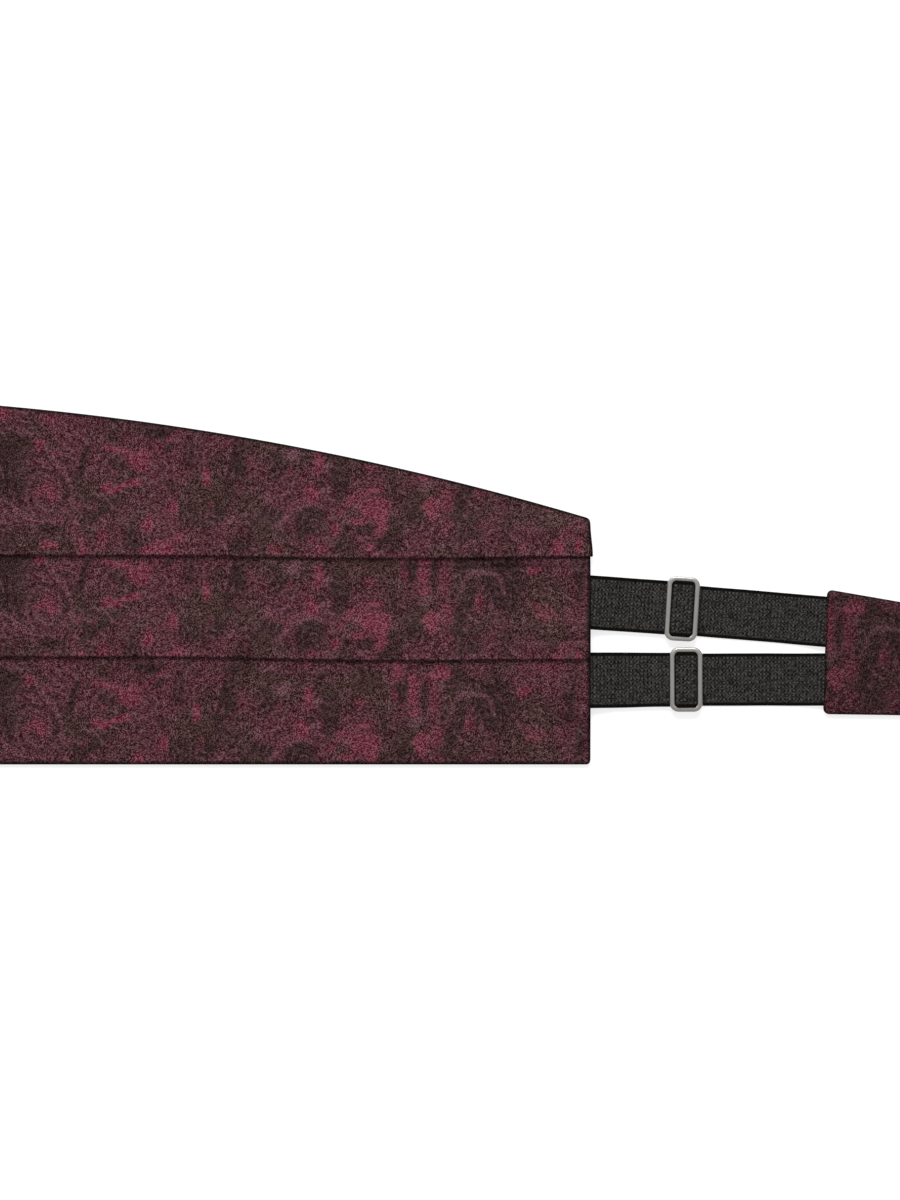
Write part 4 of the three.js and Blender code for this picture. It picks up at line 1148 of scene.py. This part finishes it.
def model_hook():
    """A strip of sheet metal turned back on itself: its end edge is spun round the bend."""
    start = TAB_LENGTH - CLASP_IN_TAB[0]
    bend_x = TAB_LENGTH + LOOP_REACH - CLASP_SHEET / 2 - HOOK_BEND
    centre = STRAP_IN_CLOTH_LEVEL + HOOK_BEND
    piece = start_plane("hook_clasp_shown", bend_x - start, HOOK_WIDTH, STRAP_IN_CLOTH_LEVEL)
    mode("EDIT", "SELECT")
    bpy.ops.transform.translate(value=((bend_x + start) / 2 * MM, 0, 0))
    mode("EDIT", "DESELECT")
    bpy.ops.mesh.select_mode(type="EDGE")
    mode("OBJECT")
    for edge in piece.data.edges:
        edge.select = all(piece.data.vertices[v].co.x > (bend_x - 0.01) * MM for v in edge.vertices)
    mode("EDIT")
    bpy.ops.mesh.spin(steps=10, angle=math.pi, center=(bend_x * MM, 0, centre * MM), axis=(0, 1, 0))
    drawn_out(-HOOK_LIP, 0)
    mode("EDIT", "SELECT")
    bpy.ops.mesh.remove_doubles(threshold=0.000005)
    bpy.ops.mesh.normals_make_consistent(inside=False)
    mode("OBJECT")
    only(piece)
    wall = piece.modifiers.new("wall", "SOLIDIFY")
    wall.thickness = CLASP_SHEET * MM
    wall.offset = 0.0
    bpy.ops.object.modifier_apply(modifier=wall.name)
    bevelled(piece, 0.25, 2)
    return piece


def placed(piece, material, turn, x, y, mirror=1):
    """Gives a finished piece its metal, turns it about Z, moves it and keeps that in its mesh."""
    mesh = piece.data
    mesh.materials.clear()
    mesh.materials.append(material)
    points = np.empty(len(mesh.vertices) * 3)
    mesh.vertices.foreach_get("co", points)
    points = points.reshape(-1, 3)
    px = points[:, 0] * math.cos(turn) - points[:, 1] * math.sin(turn) + x * MM
    py = points[:, 0] * math.sin(turn) + points[:, 1] * math.cos(turn) + y * MM
    mesh.vertices.foreach_set("co", np.column_stack([mirror * px, py, points[:, 2]]).ravel())
    if mirror < 0:
        mesh.flip_normals()
    mesh.update()


def build_sliders(material):
    """All four slide adjusters, copied from one."""
    pattern = model_slider()
    for side, word in SIDES:
        for row in STRAPS:
            title, _, _, s, bow, *_ = row
            piece = bpy.data.objects.new(f"{word}_{title}_slider_shown", pattern.data.copy())
            bpy.context.scene.collection.objects.link(piece)
            placed(piece, material, strap_slant(row) * SLIDER_FOLLOWS, *beside_strap(row, s, bow), side)
            dress(piece, f"{word}_{title}_slider")
    bpy.data.objects.remove(pattern)


def build_clasps(material):
    """The hook on the right and the loop on the left, each caught in its tab's end."""
    middle = sum(TAB_AT_END) / 2 - HEIGHT / 2
    inner = TAB_LENGTH - CLASP_IN_TAB[1]
    outer = TAB_LENGTH + LOOP_REACH
    loop = model_ring("loop_clasp_shown", outer - inner, LOOP_WIDTH, 1.7, LOOP_BAR, 1.3, CLASP_SHEET, 0.3)
    placed(loop, material, 0.0, TAB_X + (outer + inner) / 2, middle, -1)
    hook = model_hook()
    placed(hook, material, 0.0, TAB_X, middle)
    dress(loop, "loop_clasp")
    dress(hook, "hook_clasp")


def build_stage(stage):
    """The table, the lights and the camera straight above."""
    scene = bpy.context.scene
    bpy.ops.object.select_all(action="DESELECT")
    bpy.ops.mesh.primitive_plane_add(size=24.0, location=(0, 0, -0.00005))
    floor = bpy.context.active_object
    floor.name = "table_top"
    bpy.ops.object.transform_apply(location=True, rotation=False, scale=False)
    floor.data.materials.append(floor_material(stage))
    lamp = bpy.data.lights.new("softbox", "AREA")
    lamp.shape = "RECTANGLE"
    lamp.size = stage.softbox_size
    lamp.size_y = stage.softbox_size * 0.7
    lamp.energy = stage.softbox_power
    holder = bpy.data.objects.new("softbox", lamp)
    holder.location = SOFTBOX_PLACE
    holder.rotation_euler = (-math.atan2(*SOFTBOX_PLACE[1:]), 0, 0)
    scene.collection.objects.link(holder)
    world = bpy.data.worlds.new("studio")
    world.use_nodes = True
    background = world.node_tree.nodes["Background"].inputs
    background["Color"].default_value = (1.0, 1.0, 1.0, 1.0)
    background["Strength"].default_value = stage.room_light
    scene.world = world
    camera = bpy.data.cameras.new("above")
    camera.sensor_width = 36.0
    camera.lens = 36.0 * VIEW_DISTANCE / VIEW_TALL
    camera.clip_end = 60.0
    seat = bpy.data.objects.new("above", camera)
    seat.location = (VIEW_CENTRE[0] * MM, VIEW_CENTRE[1] * MM, (VIEW_DISTANCE + FACE_LEVEL) * MM)
    scene.collection.objects.link(seat)
    scene.camera = seat
    scene.view_settings.view_transform = "Standard"
    scene.view_settings.look = "None"


def length_setting(name, description, metres, **limits):
    """A length in metres for the sidebar."""
    return bpy.props.FloatProperty(name=name, description=description, default=metres, unit="LENGTH",
                                   **limits)


def colour_setting(name, description, shade):
    """A colour for the sidebar, from an sRGB hex value."""
    return bpy.props.FloatVectorProperty(name=name, description=description, default=linear(shade),
                                         subtype="COLOR")


class ClothSettings(bpy.types.PropertyGroup):
    """Sizes and colours of the jacquard panel and tabs."""

    thickness: length_setting("Cloth thickness", "Jacquard with its interlining", 0.00065,
                              min=0.0003, max=0.001)
    bottom_pleat: length_setting("Bottom pleat", "Height of the lowest pleat's face", 0.0404)
    middle_pleat: length_setting("Middle pleat", "Height of the middle pleat's face", 0.039)
    top_pleat: length_setting("Top pleat", "Height of the top pleat's face at the ends", 0.0143)
    ground: colour_setting("Ground", "Plain ground of the weave", "#3c2124")
    ground_warm: colour_setting("Warm ground", "Ground where more burgundy floats", "#4b252d")
    shade: colour_setting("Shade", "Dark brown parts of the figure", "#2f1c1d")
    bloom: colour_setting("Bloom", "Burgundy parts of the figure", "#622b38")
    pale: colour_setting("Pale line", "Light outlines of the figure", "#5d3a44")
    umber: colour_setting("Umber", "Browner patches of the ground", "#3a2723")
    line_strength: bpy.props.FloatProperty(name="Line strength", description="How clear the fine lines are",
                                           default=0.52, min=0.0, max=1.0, subtype="FACTOR")


class StrapSettings(bpy.types.PropertyGroup):
    """Sizes and colours of the elastic straps."""

    width: length_setting("Width", "Width of the elastic", 0.0205)
    thickness: length_setting("Thickness", "Thickness of the elastic", 0.001)
    dark: colour_setting("Dark", "Darker yarns", "#242221")
    light: colour_setting("Light", "Lighter yarns", "#2c2a29")
    selvedge: colour_setting("Selvedge", "The two woven edges", "#080706")


class MetalSettings(bpy.types.PropertyGroup):
    """Finish of the sliders, hook and loop."""

    slider: colour_setting("Sliders", "Die-cast zinc, tumbled to a satin", "#b2afab")
    clasp: colour_setting("Clasps", "Nickel-plated steel, satin", "#a09c97")
    roughness: bpy.props.FloatProperty(name="Roughness", description="How far the satin blurs reflections",
                                       default=0.4, min=0.05, max=1.0)


class StageSettings(bpy.types.PropertyGroup):
    """Table and lights."""

    floor_colour: bpy.props.FloatVectorProperty(name="Table", description="Colour of the table top",
                                                subtype="COLOR", default=(0.42, 0.42, 0.42))
    floor_glow: bpy.props.FloatProperty(name="Table glow", description="Light that the table gives off",
                                        default=0.72, min=0.0)
    room_light: bpy.props.FloatProperty(name="Room light", description="Even light from all round",
                                        default=0.52, min=0.0)
    softbox_size: length_setting("Softbox size", "Length of the softbox", 1.5)
    softbox_power: bpy.props.FloatProperty(name="Softbox power", description="Power of the softbox",
                                           default=60.0, unit="POWER")


class CUMMERBUND_OT_stage(bpy.types.Operator):
    """Sets the table, the lights and the camera"""

    bl_idname = "cummerbund.stage"
    bl_label = "Stage"

    def execute(self, context):
        build_stage(context.scene.cummerbund_stage)
        return {"FINISHED"}


class CUMMERBUND_OT_panel(bpy.types.Operator):
    """Folds the jacquard panel into its pleats"""

    bl_idname = "cummerbund.panel"
    bl_label = "Pleated panel"

    def execute(self, context):
        cloth = context.scene.cummerbund_cloth
        build_panel(cloth, cloth_material(cloth))
        return {"FINISHED"}


class CUMMERBUND_OT_tabs(bpy.types.Operator):
    """Makes the two tapered tabs"""

    bl_idname = "cummerbund.tabs"
    bl_label = "Tabs"

    def execute(self, context):
        material = cloth_material(context.scene.cummerbund_cloth)
        for side, word in SIDES:
            build_tab(word, side, material)
        return {"FINISHED"}


class CUMMERBUND_OT_straps(bpy.types.Operator):
    """Threads the four elastic straps"""

    bl_idname = "cummerbund.straps"
    bl_label = "Straps"

    def execute(self, context):
        straps = context.scene.cummerbund_straps
        material = elastic_material(straps)
        for side, word in SIDES:
            for row in STRAPS:
                build_strap(side, word, row, straps, material)
        return {"FINISHED"}


class CUMMERBUND_OT_sliders(bpy.types.Operator):
    """Models one slide adjuster and copies it to all four straps"""

    bl_idname = "cummerbund.sliders"
    bl_label = "Sliders"

    def execute(self, context):
        metal = context.scene.cummerbund_metal
        build_sliders(metal_material("satin_die_cast_zinc", metal.slider, metal.roughness))
        return {"FINISHED"}


class CUMMERBUND_OT_clasps(bpy.types.Operator):
    """Models the hook and the loop"""

    bl_idname = "cummerbund.clasps"
    bl_label = "Hook and loop"

    def execute(self, context):
        metal = context.scene.cummerbund_metal
        build_clasps(metal_material("satin_nickel_plated_steel", metal.clasp, metal.roughness))
        return {"FINISHED"}


class CUMMERBUND_PT_sidebar(bpy.types.Panel):
    """Lists the cummerbund's parts and settings"""

    bl_idname = "CUMMERBUND_PT_sidebar"
    bl_label = "Cummerbund"
    bl_space_type = "VIEW_3D"
    bl_region_type = "UI"
    bl_category = "Cummerbund"

    def draw(self, context):
        for operator in OPERATORS:
            self.layout.operator(operator.bl_idname)
        for name, group in SETTINGS.items():
            box = self.layout.box()
            for field in group.__annotations__:
                box.prop(getattr(context.scene, name), field)


SETTINGS = {
    "cummerbund_cloth": ClothSettings,
    "cummerbund_straps": StrapSettings,
    "cummerbund_metal": MetalSettings,
    "cummerbund_stage": StageSettings,
}
OPERATORS = (
    CUMMERBUND_OT_stage,
    CUMMERBUND_OT_panel,
    CUMMERBUND_OT_tabs,
    CUMMERBUND_OT_straps,
    CUMMERBUND_OT_sliders,
    CUMMERBUND_OT_clasps,
)


def register():
    """Registers the settings, operators and sidebar."""
    for name, group in SETTINGS.items():
        bpy.utils.register_class(group)
        setattr(bpy.types.Scene, name, bpy.props.PointerProperty(type=group))
    for operator in OPERATORS:
        bpy.utils.register_class(operator)
    bpy.utils.register_class(CUMMERBUND_PT_sidebar)


def unregister():
    """Takes them out again."""
    bpy.utils.unregister_class(CUMMERBUND_PT_sidebar)
    for operator in reversed(OPERATORS):
        bpy.utils.unregister_class(operator)
    for name, group in SETTINGS.items():
        delattr(bpy.types.Scene, name)
        bpy.utils.unregister_class(group)


def main():
    """Builds everything in order."""
    register()
    bpy.ops.cummerbund.stage()
    bpy.ops.cummerbund.panel()
    bpy.ops.cummerbund.tabs()
    bpy.ops.cummerbund.straps()
    bpy.ops.cummerbund.sliders()
    bpy.ops.cummerbund.clasps()


if __name__ == "__main__":
    main()
